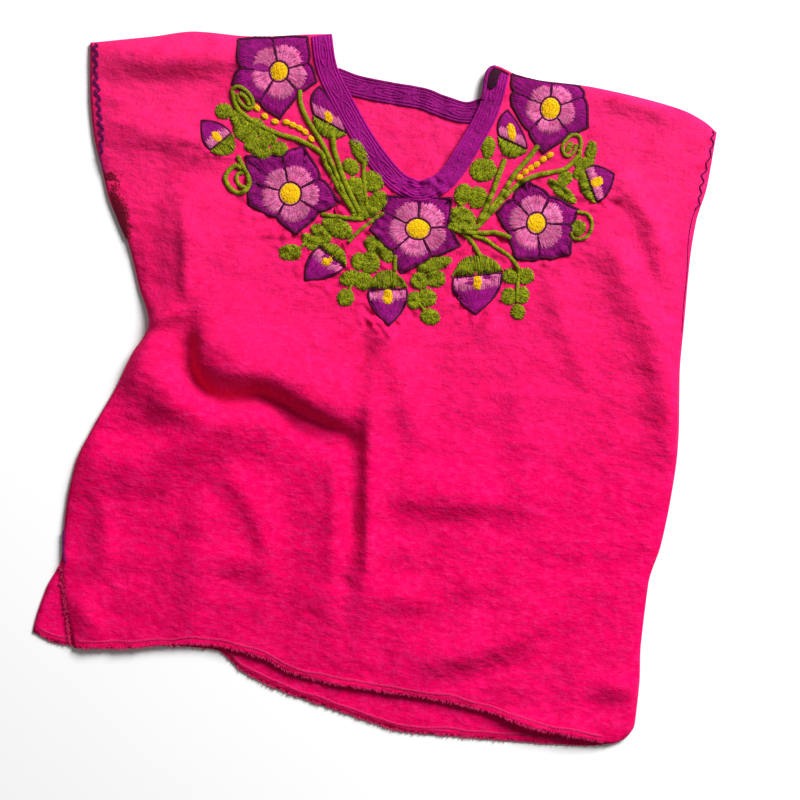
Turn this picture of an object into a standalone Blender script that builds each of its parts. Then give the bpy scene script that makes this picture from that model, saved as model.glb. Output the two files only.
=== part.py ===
"""A pull-on cotton top with a V neck and cut-in cap sleeves, lying face up on a table.

The back panel lies flat. The front panel lies on it with the folds that it was dropped in.
Round the neck are a corded band and thick satin-stitch flowers, buds, leaves and stems.
+Y points from the hem to the neck, +Z up from the table. Tables are in millimetres.
"""

import math

import bmesh
import bpy
import numpy as np
from mathutils import Vector
from mathutils.bvhtree import BVHTree

MM = 0.001

# Cloth and trim thicknesses, in metres
CLOTH_WALL = 0.0015
SEAM_GAP = 0.0003
BAND_WALL = 0.0013
PAD_WALL = 0.0011
PAD_GAP = 0.0004
PAD_RING = 0.55
BEARING_PASSES = 3

# How the front panel lies on the back panel, in millimetres
FRONT_REST = (CLOTH_WALL + SEAM_GAP) / MM
FRONT_LOFT = 3.0
EDGE_ROLL = 16.0
NECK_CORNER_BLEND = 22.0
NARROWEST_FLANK = 12.0
NECK_REACH = 0.35
FLOOR_SOFTNESS = 1.5
FOLD_STEP = 7.0
SLOPE_PROBE = 3.0

# Front grid: cells across the left shoulder, the two arms of the V, the right shoulder, and up
FRONT_CELLS_ACROSS = (16, 9, 6, 15)
FRONT_CELLS_UP = 41
BACK_CELLS_ACROSS = (8, 6, 4, 8)
BACK_CELLS_UP = 18

# Both panels' sides: height above the frame's middle, left edge, right edge
SIDES = [
    # y, left, right
    (-325, -246, 290),
    (-316, -248, 306),
    (-300, -252, 314),
    (-260, -266, 313),
    (-220, -275, 309),
    (-160, -278, 308),
    (-120, -275, 315),
    (-80, -262, 318),
    (-40, -246, 319),
    (-5, -235, 317),
    (27, -222, 313),
    (62, -236, 309),
    (108, -255, 307),
    (145, -278, 305),
    (175, -290, 304),
    (205, -302, 305),
    (242, -311, 311),
    (298, -319, 313),
]

# The back panel's left side stands out below the side slit
BACK_LEFT = [
    # y, left
    (-325, -291),
    (-293, -294),
    (-248, -287),
    (-215, -276),
    (-200, -277),
]

# The lower edge of each panel: across, height
FRONT_HEM = [
    (-252, -303),
    (-196, -295),
    (-157, -286),
    (-112, -281),
    (-66, -286),
    (-34, -297),
    (7, -302),
    (118, -304),
    (169, -309),
    (211, -318),
    (252, -321),
    (290, -323),
]
BACK_HEM = [
    (-292, -293),
    (-266, -301),
    (-240, -300),
    (-176, -289),
    (-111, -285),
    (-81, -303),
    (-42, -316),
    (10, -327),
    (52, -335),
    (83, -340),
    (143, -337),
    (223, -332),
    (268, -328),
    (290, -323),
]

# The shoulder fold on each side of the neck, and the neck edges: across, height
LEFT_SHOULDER = [(-319, 298), (-261, 312), (-213, 324), (-167, 326), (-101, 337), (-82, 340)]
RIGHT_SHOULDER = [
    (80, 328), (92, 330), (105, 326), (136, 323), (171, 324), (222, 321), (274, 314), (300, 305), (313, 296),
]
V_LEFT_ARM = [(-82, 340), (-72, 308), (-52, 278), (-24, 242), (5, 214), (26, 205)]
V_RIGHT_ARM = [(26, 205), (45, 219), (62, 254), (75, 290), (80, 328)]
BACK_NECK = [
    (-82, 340), (-77, 316), (-70, 307), (-47, 302), (-12, 300), (18, 299), (36, 295), (60, 291), (74, 296),
    (80, 328),
]

# Folds of the front panel. A ridge has a soft flank on the left of its route and a steep one on
# the right; a negative height is a trough. Fades are the lengths over which the ends die away.
FOLDS = [
    # name, height, soft flank, steep flank, fade in, fade out, route
    ("diagonal roll", 17, 46, 20, 30, 30, [(-158, 47), (-161, 22), (-155, 4), (-130, -4), (-102, -3),
        (-72, -11), (-43, -22), (-15, -31), (6, -37)]),
    ("under the roll", -8, 13, 14, 26, 26, [(-172, 33), (-181, 7), (-177, -16), (-158, -33), (-137, -40),
        (-118, -34), (-98, -29), (-77, -38), (-56, -49), (-22, -59), (5, -58)]),
    ("billow over the side", 18, 26, 32, 26, 60, [(-220, 30), (-219, 2), (-210, -25), (-187, -41),
        (-154, -47), (-120, -44)]),
    ("hip crest", 14, 32, 22, 40, 50, [(-272, -143), (-238, -123), (-203, -105), (-165, -83),
        (-136, -65), (-101, -50), (-54, -39)]),
    ("billow hollow", -6, 18, 18, 24, 30, [(-248, -99), (-218, -83), (-189, -70), (-158, -64)]),
    ("long hip ridge", 8, 28, 20, 30, 60, [(-141, -124), (-139, -168), (-145, -215), (-151, -271)]),
    ("short hip ridge", 7, 18, 13, 18, 26, [(-137, -112), (-109, -122), (-90, -143), (-78, -175),
        (-70, -201)]),
    ("skirt ridge", 7, 14, 26, 36, 60, [(-19, -61), (-9, -140), (-4, -210), (0, -280)]),
    ("centre ridge", 9, 24, 14, 40, 70, [(8, 39), (11, -16), (15, -66), (21, -126), (24, -186),
        (21, -262)]),
    ("fan ridge", 8, 22, 16, 22, 60, [(-3, 71), (17, 45), (37, 3), (55, -40), (66, -79)]),
    ("cross fold", 9, 36, 15, 22, 45, [(33, -100), (52, -106), (91, -107), (130, -100), (174, -90)]),
    ("long soft pleat", 4, 30, 18, 60, 70, [(142, 43), (159, -15), (177, -84), (194, -162)]),
    ("right side ridge", 7, 20, 24, 50, 50, [(204, 195), (246, 138), (278, 82), (302, 25), (327, -52)]),
    ("sleeve tuck", 5, 14, 12, 18, 25, [(212, 222), (240, 193), (268, 155)]),
    ("pleat below the right flower", 2, 16, 12, 25, 40, [(165, 139), (190, 80), (227, 14)]),
    ("pleat below the right bud", 2, 12, 12, 12, 18, [(98, 95), (114, 74), (129, 49)]),
    ("hem ripple", 6, 28, 20, 40, 50, [(78, -291), (113, -266), (151, -251), (179, -235), (207, -205),
        (233, -171)]),
    ("upper hem ripple", 4, 20, 13, 20, 30, [(30, -211), (67, -210), (111, -212)]),
    ("middle hem ripple", 4, 20, 13, 25, 30, [(104, -201), (146, -179), (185, -149)]),
    ("corner tuck", 4, 16, 12, 14, 20, [(267, -273), (289, -264), (317, -266)]),
    ("left shoulder roll", 5, 22, 16, 45, 30, [(-311, 282), (-257, 285), (-208, 293), (-163, 305)]),
    ("left sleeve fold", 5, 30, 18, 45, 25, [(-295, 177), (-256, 201), (-206, 209), (-163, 200)]),
    ("left flank ridge", 17, 54, 34, 30, 30, [(-207, 167), (-192, 122), (-189, 87), (-179, 54)]),
    ("underarm crest", 7, 22, 12, 16, 30, [(-231, 12), (-217, 28), (-188, 49), (-154, 64)]),
    ("hip smudge", 5, 16, 13, 18, 22, [(-117, -196), (-88, -200), (-52, -205)]),
    ("slit ridge", 5, 12, 12, 20, 30, [(-246, -145), (-233, -187), (-232, -237)]),
    ("lower slit ridge", 4, 12, 12, 15, 15, [(-254, -245), (-242, -269), (-230, -294)]),
]

# Five-petal flowers: centre, reach of a petal tip, turn of the first tip, reach and turn of the middle
FLOWERS = [
    # name, x, y, reach, turn in degrees, middle half width, middle half height
    ("left_shoulder", -132, 288, 43, 66, 9, 10),
    ("left", -101, 178, 44, 70, 10, 11),
    ("middle", 31, 150, 43, 53, 12, 9.5),
    ("right", 147, 183, 42, 31, 9, 10),
    ("right_shoulder", 146, 290, 38, 50, 9, 10.5),
]
PETALS = 5
FLOWER_POINTS = 30
NOTCH = 0.76
PETAL_CURVE = 0.85
SHOULDER_INSET = 8.0
MIDDLE_POINTS = 10

# Closed buds: middle of the base, tip, width at the base
BUDS = [
    # name, base x, base y, tip x, tip y, width
    ("left_outer", -172, 217, -199, 235, 26),
    ("left_inner", -73, 250, -91, 274, 18),
    ("left_lower", -48, 117, -77, 94, 30),
    ("middle_lower", 7, 99, 16, 60, 34),
    ("right_lower", 96, 120, 101, 82, 42),
    ("right_inner", 109, 253, 96, 275, 20),
    ("right_outer", 193, 222, 220, 242, 26),
]
BUD_POINTS = 14
BUD_TAPER = 0.35
BUD_CURVE = 0.85

# Leaf sprays and stems are ribbons: half width at each point of the route
SPRAYS = [
    # name, rows of (x, y, half width)
    ("left_top", [(-177, 250, 6), (-166, 246, 9), (-152, 234, 13), (-136, 229, 7)]),
    ("left_low", [(-55, 149, 4), (-64, 143, 7), (-75, 131, 6), (-85, 121, 4), (-96, 117, 6)]),
    ("middle_left", [(-14, 138, 6), (-20, 128, 9), (-24, 112, 12), (-29, 98, 5), (-31, 88, 6)]),
    ("middle_low", [(58, 103, 8), (50, 98, 12), (48, 89, 7), (46, 82, 11), (48, 71, 6)]),
    ("right_low", [(137, 130, 5), (137, 124, 13), (135, 114, 4), (136, 105, 13), (137, 96, 4), (138, 89, 6)]),
    ("left_neck", [(-45, 224, 6), (-40, 211, 8), (-34, 196, 12), (-30, 182, 7), (-26, 172, 5)]),
    ("right_neck", [(91, 247, 4), (90, 237, 5), (88, 226, 10), (84, 213, 4), (81, 200, 11), (78, 188, 8)]),
    ("right_top", [(190, 270, 5), (187, 260, 8), (182, 247, 7), (176, 236, 4)]),
]
STEMS = [
    # name, half width, route
    ("left_long", 2.0, [(-130, 240), (-92, 233), (-67, 212), (-52, 188), (-40, 168)]),
    ("right_mid", 2.2, [(131, 243), (115, 224), (102, 197), (96, 180)]),
]

# The neck band: its middle line on the front, and on the back, with half widths
FRONT_BAND = [(-93, 331), (-84, 300), (-63, 271), (-37, 242), (-12, 216), (10, 202), (27, 197)]
FRONT_BAND_RIGHT = [(27, 197), (46, 204), (60, 222), (70, 246), (81, 276), (90, 300), (94, 316)]
BACK_BAND = [(-69, 297), (-47, 291), (-12, 290), (18, 288), (36, 285), (60, 281), (72, 284)]
BAND_HALF_WIDTH = 11.0
BACK_BAND_HALF_WIDTH = 8.5
BAND_STEP = 9.0
SPRAY_STEP = 6.0

COLOURS = {
    # slot: linear red, green, blue, roughness
    "pink_cotton": (0.90, 0.008, 0.12, 0.9),
    "purple_thread": (0.23, 0.002, 0.25, 0.6),
    "yellow_thread": (0.95, 0.45, 0.003, 0.6),
    "green_thread": (0.17, 0.26, 0.006, 0.65),
}


def slopes_between(xs, ys):
    """Tangents at the table's points that keep a cubic curve from overshooting them."""
    steps = np.diff(xs)
    chords = np.diff(ys) / steps
    tangents = np.empty(len(xs))
    tangents[0], tangents[-1] = chords[0], chords[-1]
    for i in range(1, len(xs) - 1):
        before, after = chords[i - 1], chords[i]
        if before * after <= 0:
            tangents[i] = 0
            continue
        weight_before = 2 * steps[i] + steps[i - 1]
        weight_after = steps[i] + 2 * steps[i - 1]
        tangents[i] = (weight_before + weight_after) / (weight_before / before + weight_after / after)
    return tangents


def curve_through(table):
    """A function that runs smoothly through a table's (place, value) rows."""
    xs = np.array([row[0] for row in table], float)
    ys = np.array([row[1] for row in table], float)
    tangents = slopes_between(xs, ys)

    def value(x):
        x = np.clip(np.asarray(x, float), xs[0], xs[-1])
        i = np.clip(np.searchsorted(xs, x, side="right") - 1, 0, len(xs) - 2)
        h = xs[i + 1] - xs[i]
        t = (x - xs[i]) / h
        start = (1 + 2 * t) * (1 - t) ** 2 * ys[i] + t * (1 - t) ** 2 * h * tangents[i]
        end = t * t * (3 - 2 * t) * ys[i + 1] + t * t * (t - 1) * h * tangents[i + 1]
        return start + end

    return value


def route_through(points, step):
    """Points a step apart along a smooth route through the given ones (any number of columns)."""
    p = np.array(points, float)
    p = np.vstack([2 * p[0] - p[1], p, 2 * p[-1] - p[-2]])
    made = []
    for i in range(1, len(p) - 2):
        pieces = max(1, round(float(np.linalg.norm((p[i + 1] - p[i])[:2])) / step))
        for t in np.arange(pieces) / pieces:
            made.append(
                0.5 * (2 * p[i] + (p[i + 1] - p[i - 1]) * t
                       + (2 * p[i - 1] - 5 * p[i] + 4 * p[i + 1] - p[i + 2]) * t * t
                       + (3 * p[i] - p[i - 1] - 3 * p[i + 1] + p[i + 2]) * t ** 3)
            )
    made.append(p[-2])
    return np.array(made)


def smoothstep(t):
    t = np.clip(t, 0, 1)
    return t * t * (3 - 2 * t)


def fold_height(x, y, height, soft, steep, fade_in, fade_out, route):
    """How much one fold raises the cloth at each (x, y), in millimetres.

    Each point of the route adds a smooth bump whose width turns from soft to steep round it.
    """
    line = route_through(route, FOLD_STEP)
    runs = np.gradient(line, axis=0)
    lengths = np.linalg.norm(runs, axis=1)
    travelled = np.concatenate([[0], np.cumsum(np.linalg.norm(np.diff(line, axis=0), axis=1))])
    ends = smoothstep(travelled / fade_in) * smoothstep((travelled[-1] - travelled) / fade_out)
    soft, steep = max(soft, NARROWEST_FLANK), max(steep, NARROWEST_FLANK)
    total = np.zeros(x.shape)
    for point, run, length, share in zip(line, runs, lengths, ends):
        dx, dy = x - point[0], y - point[1]
        away = np.hypot(dx, dy)
        leftward = (run[0] * dy - run[1] * dx) / (length * np.maximum(away, 0.001))
        flank = (soft + steep) / 2 + (soft - steep) / 2 * leftward
        total += share * length * np.exp(-(away / flank) ** 2)
    return height * total / (math.sqrt(math.pi) * (soft + steep) / 2)


left_side = curve_through([(y, left) for y, left, right in SIDES])
right_side = curve_through([(y, right) for y, left, right in SIDES])
back_left_side = curve_through(BACK_LEFT + [(y, left) for y, left, right in SIDES if y > BACK_LEFT[-1][0]])
front_hem = curve_through(FRONT_HEM)
back_hem = curve_through(BACK_HEM)
left_shoulder = curve_through(LEFT_SHOULDER)
right_shoulder = curve_through(RIGHT_SHOULDER)
v_left_arm = curve_through(V_LEFT_ARM)
v_right_arm = curve_through(V_RIGHT_ARM)
back_neck = curve_through(BACK_NECK)

TOP_LEFT, NECK_LEFT = LEFT_SHOULDER[0][0], LEFT_SHOULDER[-1][0]
NECK_RIGHT, TOP_RIGHT = RIGHT_SHOULDER[0][0], RIGHT_SHOULDER[-1][0]
APEX = V_LEFT_ARM[-1][0]


def shoulder_line(x):
    """The upper edge of the cloth, straight across the neck."""
    across_neck = np.interp(x, [NECK_LEFT, NECK_RIGHT], [LEFT_SHOULDER[-1][1], RIGHT_SHOULDER[0][1]])
    beside_neck = np.where(x < APEX, left_shoulder(x), right_shoulder(x))
    return np.where((x > NECK_LEFT) & (x < NECK_RIGHT), across_neck, beside_neck)


def front_top(x):
    """The front panel's upper edge: shoulders, and the V between them."""
    neck = np.where(x < APEX, v_left_arm(x), v_right_arm(x))
    return np.where((x > NECK_LEFT) & (x < NECK_RIGHT), neck, shoulder_line(x))


def back_top(x):
    """The back panel's upper edge: shoulders, and the shallow neck between them."""
    return np.where((x > NECK_LEFT) & (x < NECK_RIGHT), back_neck(x), shoulder_line(x))


def columns(cells):
    """Shares of the width at which a panel's columns stand, with one on each corner of the neck."""
    corners = [TOP_LEFT, NECK_LEFT, APEX, NECK_RIGHT, TOP_RIGHT]
    xs = [TOP_LEFT]
    for start, end, count in zip(corners, corners[1:], cells):
        xs += [start + (end - start) * (i + 1) / count for i in range(count)]
    return (np.array(xs) - TOP_LEFT) / (TOP_RIGHT - TOP_LEFT)


def panel_places(cells_across, cells_up, left, right, hem, top):
    """The plan places (x, y) of a panel's grid, row by row from hem to shoulder."""
    u, v = np.meshgrid(columns(cells_across), np.linspace(0, 1, cells_up + 1))
    across_top = TOP_LEFT + (TOP_RIGHT - TOP_LEFT) * u
    hem_left, hem_right = FRONT_HEM[0][0], FRONT_HEM[-1][0]
    if hem is back_hem:
        hem_left, hem_right = BACK_HEM[0][0], BACK_HEM[-1][0]
    across_hem = hem_left + (hem_right - hem_left) * u
    straight = shoulder_line(across_top)
    neck_drop = (straight - top(across_top)) * smoothstep((v - NECK_REACH) / (1 - NECK_REACH))
    y = (1 - v) * hem(across_hem) + v * straight - neck_drop
    side_left = left((1 - v) * hem(hem_left) + v * top(TOP_LEFT))
    side_right = right((1 - v) * hem(hem_right) + v * top(TOP_RIGHT))
    return side_left + (side_right - side_left) * u, y


def front_height(x, y):
    """The height of the front panel's inner side above the table, in millimetres."""
    def roll(distance):
        return np.sqrt(1 - (1 - np.clip(distance / EDGE_ROLL, 0, 1)) ** 2)

    inside_neck = np.minimum(x - NECK_LEFT, NECK_RIGHT - x) / NECK_CORNER_BLEND
    at_shoulder = roll(shoulder_line(x) - y)
    at_shoulder = at_shoulder + (1 - at_shoulder) * smoothstep(inside_neck)
    rise = roll(x - left_side(y)) * roll(right_side(y) - x) * at_shoulder
    folds = sum(fold_height(x, y, *row[1:]) for row in FOLDS)
    wanted = FRONT_LOFT + folds
    loft = 0.5 * (wanted + np.sqrt(wanted ** 2 + FLOOR_SOFTNESS ** 2))
    return FRONT_REST + rise * loft


def wall(name, inner, outer, colour):
    """A closed wall between two grids of points, as one object."""
    rows, across = inner.shape[:2]
    count = rows * across
    points = np.concatenate([inner.reshape(-1, 3), outer.reshape(-1, 3)]) * MM
    faces = grid_triangles(inner)
    faces += [tuple(count + k for k in reversed(face)) for face in faces]
    rim = list(range(across - 1))
    rim += [r * across + across - 1 for r in range(rows - 1)]
    rim += [(rows - 1) * across + c for c in range(across - 1, 0, -1)]
    rim += [r * across for r in range(rows - 1, 0, -1)]
    for a, b in zip(rim, rim[1:] + rim[:1]):
        faces += [(a, b, count + b), (a, count + b, count + a)]
    return add_object(name, points, faces, colour)


def add_object(name, points, faces, colour):
    """A mesh object with its faces turned outwards."""
    mesh = bpy.data.meshes.new(name)
    mesh.from_pydata([tuple(p) for p in points], [], faces)
    shape = bmesh.new()
    shape.from_mesh(mesh)
    bmesh.ops.recalc_face_normals(shape, faces=shape.faces)
    shape.to_mesh(mesh)
    shape.free()
    mesh.materials.append(material(colour))
    made = bpy.data.objects.new(name, mesh)
    bpy.context.scene.collection.objects.link(made)
    return made


def material(slot):
    """The slot's material, made once."""
    found = bpy.data.materials.get(slot)
    if found:
        return found
    red, green, blue, roughness = COLOURS[slot]
    made = bpy.data.materials.new(slot)
    made.use_nodes = True
    shader = made.node_tree.nodes["Principled BSDF"]
    shader.inputs["Base Color"].default_value = (red, green, blue, 1)
    shader.inputs["Roughness"].default_value = roughness
    made.diffuse_color = (red, green, blue, 1)
    return made


def back_panel():
    """The back: a flat wall on the table, with its hem showing below the front's."""
    x, y = panel_places(BACK_CELLS_ACROSS, BACK_CELLS_UP, back_left_side, right_side, back_hem, back_top)
    flat = np.stack([x, y, np.zeros_like(x)], axis=-1)
    return wall("back_panel", flat, flat + [0, 0, CLOTH_WALL / MM], "pink_cotton")


def front_panel():
    """The front: a wall laid on the back, raised by its folds, with its outer points moved out."""
    x, y = panel_places(FRONT_CELLS_ACROSS, FRONT_CELLS_UP, left_side, right_side, front_hem, front_top)
    z = front_height(x, y)
    slope_x = (front_height(x + SLOPE_PROBE, y) - front_height(x - SLOPE_PROBE, y)) / (2 * SLOPE_PROBE)
    slope_y = (front_height(x, y + SLOPE_PROBE) - front_height(x, y - SLOPE_PROBE)) / (2 * SLOPE_PROBE)
    outward = np.stack([-slope_x, -slope_y, np.ones_like(x)], axis=-1)
    outward /= np.linalg.norm(outward, axis=-1, keepdims=True)
    inner = np.stack([x, y, z], axis=-1)
    return wall("front_panel", inner, inner + outward * CLOTH_WALL / MM, "pink_cotton")


def surface_of(panel):
    """A function that gives the height of a panel's upper side at (x, y), in millimetres."""
    shape = bmesh.new()
    shape.from_mesh(panel.data)
    tree = BVHTree.FromBMesh(shape)
    shape.free()

    def height(x, y):
        hit = tree.ray_cast(Vector((x * MM, y * MM, 1)), Vector((0, 0, -1)))[0]
        if hit:
            return hit.z / MM
        guess = float(front_height(np.array(x), np.array(y)))
        return tree.find_nearest(Vector((x, y, guess)) * MM)[0].z / MM

    return height


def grid_triangles(places):
    """Two triangles for each cell of a grid of points, split along its shorter diagonal."""
    rows, across = places.shape[:2]
    rising = np.linalg.norm(places[1:, 1:, :2] - places[:-1, :-1, :2], axis=-1)
    falling = np.linalg.norm(places[1:, :-1, :2] - places[:-1, 1:, :2], axis=-1)
    made = []
    for r in range(rows - 1):
        for c in range(across - 1):
            a = r * across + c
            b, d, e = a + 1, a + across, a + across + 1
            made += [(a, d, e), (a, e, b)] if rising[r, c] <= falling[r, c] else [(a, d, b), (b, d, e)]
    return made


def lay_on(surface, places, triangles, gap, thickness):
    """Lower and upper points of a piece with these triangles, no part of it nearer a surface than a gap."""
    shares = np.array([(1, 1, 1), (2, 2, 0), (2, 0, 2), (0, 2, 2), (4, 1, 1), (1, 4, 1), (1, 1, 4)], float)
    shares /= shares.sum(axis=1, keepdims=True)
    heights = np.array([surface(x, y) for x, y in places]) + gap / MM
    for _ in range(BEARING_PASSES):
        for triangle in triangles:
            corners = list(triangle)
            wanted = np.array([surface(x, y) for x, y in shares @ places[corners]]) + gap / MM
            heights[corners] += max(0, (wanted - shares @ heights[corners]).max())
    lower = np.concatenate([places, heights[:, None]], axis=1)
    return lower, lower + [0, 0, thickness / MM]


def ribbon(name, surface, route, half_widths, colour, gap=PAD_GAP, thickness=PAD_WALL):
    """A strip along a route on a surface, three points wide."""
    along = np.gradient(route, axis=0)
    along /= np.linalg.norm(along, axis=1, keepdims=True)
    left = np.stack([-along[:, 1], along[:, 0]], axis=-1) * half_widths[:, None]
    places = np.stack([route + left, route, route - left], axis=1)
    lower, upper = lay_on(surface, places.reshape(-1, 2), grid_triangles(places), gap, thickness)
    return wall(name, lower.reshape(*places.shape[:2], 3), upper.reshape(*places.shape[:2], 3), colour)


def pad(name, surface, centre, outline, colour, gap=PAD_GAP, thickness=PAD_WALL):
    """A stitched pad with the given outline, closed round its centre and one inner ring."""
    centre = np.array(centre, float)
    outline = np.array(outline)
    count = len(outline)
    places = np.vstack([centre, centre + (outline - centre) * PAD_RING, outline])
    size = len(places)
    top, rim = [], []
    for i in range(count):
        j = (i + 1) % count
        inner_i, inner_j, outer_i, outer_j = 1 + i, 1 + j, 1 + count + i, 1 + count + j
        top += [(0, inner_i, inner_j), (inner_i, outer_i, outer_j), (inner_i, outer_j, inner_j)]
        rim += [(outer_i, outer_j, size + outer_j), (outer_i, size + outer_j, size + outer_i)]
    lower, upper = lay_on(surface, places, top, gap, thickness)
    faces = [tuple(size + k for k in face) for face in top] + [tuple(reversed(face)) for face in top] + rim
    return add_object(name, np.concatenate([lower, upper]) * MM, faces, colour)


def flower_outline(x, y, reach, turn):
    """Five pointed petals with a shallow notch between them, kept inside the shoulder fold."""
    made = []
    for i in range(FLOWER_POINTS):
        share = i / FLOWER_POINTS
        from_tip = abs(((share * PETALS + 0.5) % 1) - 0.5) * 2
        radius = reach * (1 - (1 - NOTCH) * from_tip ** PETAL_CURVE)
        angle = math.radians(turn) + 2 * math.pi * share
        px, py = x + radius * math.cos(angle), y + radius * math.sin(angle)
        made.append((px, min(py, float(shoulder_line(np.array(px))) - SHOULDER_INSET)))
    return made


def ellipse(x, y, half_width, half_height, count):
    """Points round an ellipse."""
    angles = [2 * math.pi * i / count for i in range(count)]
    return [(x + half_width * math.cos(a), y + half_height * math.sin(a)) for a in angles]


def bud_outline(base, tip, width):
    """A drop: round at its base and pointed at its tip."""
    base, tip = np.array(base, float), np.array(tip, float)
    length = np.linalg.norm(tip - base)
    forward = (tip - base) / length
    sideways = np.array([-forward[1], forward[0]])
    made = []
    for i in range(BUD_POINTS):
        angle = 2 * math.pi * i / BUD_POINTS
        share = 0.5 - 0.5 * math.cos(angle)
        half = width / 2 * math.sin(angle) * (1 - BUD_TAPER * share)
        made.append(base + forward * length * share ** BUD_CURVE + sideways * half)
    return made


def embroidery(surface):
    """The thick stitched motifs that lie on the front."""
    for name, x, y, reach, turn, half_width, half_height in FLOWERS:
        petals = pad("flower_" + name, surface, (x, y), flower_outline(x, y, reach, turn), "purple_thread")
        ring = ellipse(x, y, half_width, half_height, MIDDLE_POINTS)
        pad("flower_middle_" + name, surface_of(petals), (x, y), ring, "yellow_thread", SEAM_GAP)
    for name, base_x, base_y, tip_x, tip_y, width in BUDS:
        outline = bud_outline((base_x, base_y), (tip_x, tip_y), width)
        pad("bud_" + name, surface, np.mean(outline, axis=0), outline, "purple_thread")
    for name, rows in SPRAYS:
        line = route_through(rows, SPRAY_STEP)
        ribbon("leaves_" + name, surface, line[:, :2], line[:, 2], "green_thread")
    for name, half_width, route in STEMS:
        line = route_through(route, BAND_STEP)
        ribbon("stem_" + name, surface, line, np.full(len(line), half_width), "green_thread")


def neck_bands(front_surface, back_surface):
    """The corded band: a V on the front, and a shallow curve on the inside of the back."""
    left = route_through(FRONT_BAND, BAND_STEP)
    right = route_through(FRONT_BAND_RIGHT, BAND_STEP)
    line = np.vstack([left, right[1:]])
    widths = np.full(len(line), BAND_HALF_WIDTH)
    ribbon("neck_band_front", front_surface, line, widths, "purple_thread", PAD_GAP, BAND_WALL)
    line = route_through(BACK_BAND, BAND_STEP)
    widths = np.full(len(line), BACK_BAND_HALF_WIDTH)
    ribbon("neck_band_back", back_surface, line, widths, "purple_thread", SEAM_GAP, BAND_WALL)


def main():
    for old in list(bpy.data.objects):
        bpy.data.objects.remove(old)
    back = back_panel()
    front = front_panel()
    front_surface = surface_of(front)
    neck_bands(front_surface, surface_of(back))
    embroidery(front_surface)


main()
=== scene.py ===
"""The looks of the embroidered cotton top: creased cloth, thick stitching, cords and hems.

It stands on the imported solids, whose forms it repeats from part.py. Tables are in millimetres
in the part's frame: x across, y from the hem to the neck, z up from the table.
"""

import math

import bpy
import numpy as np
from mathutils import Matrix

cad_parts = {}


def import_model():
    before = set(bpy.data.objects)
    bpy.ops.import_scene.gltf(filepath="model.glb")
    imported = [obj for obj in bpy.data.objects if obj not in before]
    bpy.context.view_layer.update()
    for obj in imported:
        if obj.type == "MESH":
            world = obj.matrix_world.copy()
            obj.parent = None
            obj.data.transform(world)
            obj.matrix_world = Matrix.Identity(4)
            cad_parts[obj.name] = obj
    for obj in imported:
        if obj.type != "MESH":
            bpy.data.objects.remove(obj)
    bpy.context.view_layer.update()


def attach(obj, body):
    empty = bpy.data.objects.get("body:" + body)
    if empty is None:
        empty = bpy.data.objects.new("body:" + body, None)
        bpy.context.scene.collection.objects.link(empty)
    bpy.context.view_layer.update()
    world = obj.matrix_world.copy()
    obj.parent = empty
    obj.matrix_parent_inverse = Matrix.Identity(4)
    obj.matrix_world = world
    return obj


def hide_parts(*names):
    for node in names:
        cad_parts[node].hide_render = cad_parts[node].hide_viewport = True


MM = 0.001

# The photo's camera: straight above, turned against the top, over the middle of the picture
CAMERA_TURN = 8.0
CAMERA_OVER = (36.9, -12.4)
CAMERA_HEIGHT = 2.2
PICTURE_WIDTH = 0.80
SENSOR_WIDTH = 36.0

# The soft light from the upper right of the picture: where it stands, its size and its power
KEY_TOWARDS = (0.453, 0.669, 0.588)
KEY_DISTANCE = 4.0
KEY_SIZE = 1.9
KEY_POWER = 318
WORLD_LIGHT = 0.18

# Dyes reflect this share of the light that a colour in the tables stands for
DYE_SHARE = 0.76

# Every random draw starts from this
SEED = 11

# Random swells of the surfaces: height, wavelength and seed of each
CLOTH_SWELLS = [(0.5, 44, 1), (0.12, 15, 2)]
PUCKER_SWELLS = [(1, 14, 5), (0.6, 10, 6)]
BACK_NECK_SWELLS = [(0.5, 26, 3), (0.25, 11, 4)]

# Height of the puckers round the stitching
PUCKER = 1.1
# They stand this far from the middle of a flower or bud, in a ring this wide
FLOWER_RIM = 44
FLOWER_RIM_WIDTH = 14
BUD_RIM = 22
BUD_RIM_WIDTH = 10

# How the two panels lie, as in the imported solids
CAD_CLOTH_WALL = 1.5
FRONT_REST = 1.8
FRONT_LOFT = 3.0
EDGE_ROLL = 16.0
NECK_CORNER_BLEND = 22.0
NARROWEST_FLANK = 12.0
NECK_REACH = 0.35
FLOOR_SOFTNESS = 1.5
FOLD_STEP = 7.0
CREASE_STEP = 2.5
NARROWEST_CREASE = 3.0

# The cloth's own thickness and the grids of the two shells
CLOTH_WALL = 0.8
FRONT_CELLS_ACROSS = (70, 38, 22, 66)
FRONT_CELLS_UP = 216
BACK_CELLS_ACROSS = (38, 26, 16, 36)
BACK_CELLS_UP = 120
SLOPE_PROBE = 1.5

# The grid of heights on which the stitching lies
MAP_LOW = (-340, -350)
MAP_HIGH = (340, 356)
MAP_STEP = 2.0

# The floor is a square, and lies just under the cloth
FLOOR_REACH = 3.0
FLOOR_HEIGHT = -0.0006
FLOOR_COLOUR = (0.9, 0.9, 0.9, 1)
FLOOR_ROUGHNESS = 0.9

# Both panels' sides: height above the frame's middle, left edge, right edge
SIDES = [
    # y, left, right
    (-325, -246, 290),
    (-316, -248, 306),
    (-300, -252, 314),
    (-260, -266, 313),
    (-220, -275, 309),
    (-160, -278, 308),
    (-120, -275, 315),
    (-80, -262, 318),
    (-40, -246, 319),
    (-5, -235, 317),
    (27, -222, 313),
    (62, -236, 309),
    (108, -255, 307),
    (145, -278, 305),
    (175, -290, 304),
    (205, -302, 305),
    (242, -311, 311),
    (298, -319, 313),
]

# The back panel's left side stands out below the side slit
BACK_LEFT = [
    # y, left
    (-325, -291),
    (-293, -294),
    (-248, -287),
    (-215, -276),
    (-200, -277),
]

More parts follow.
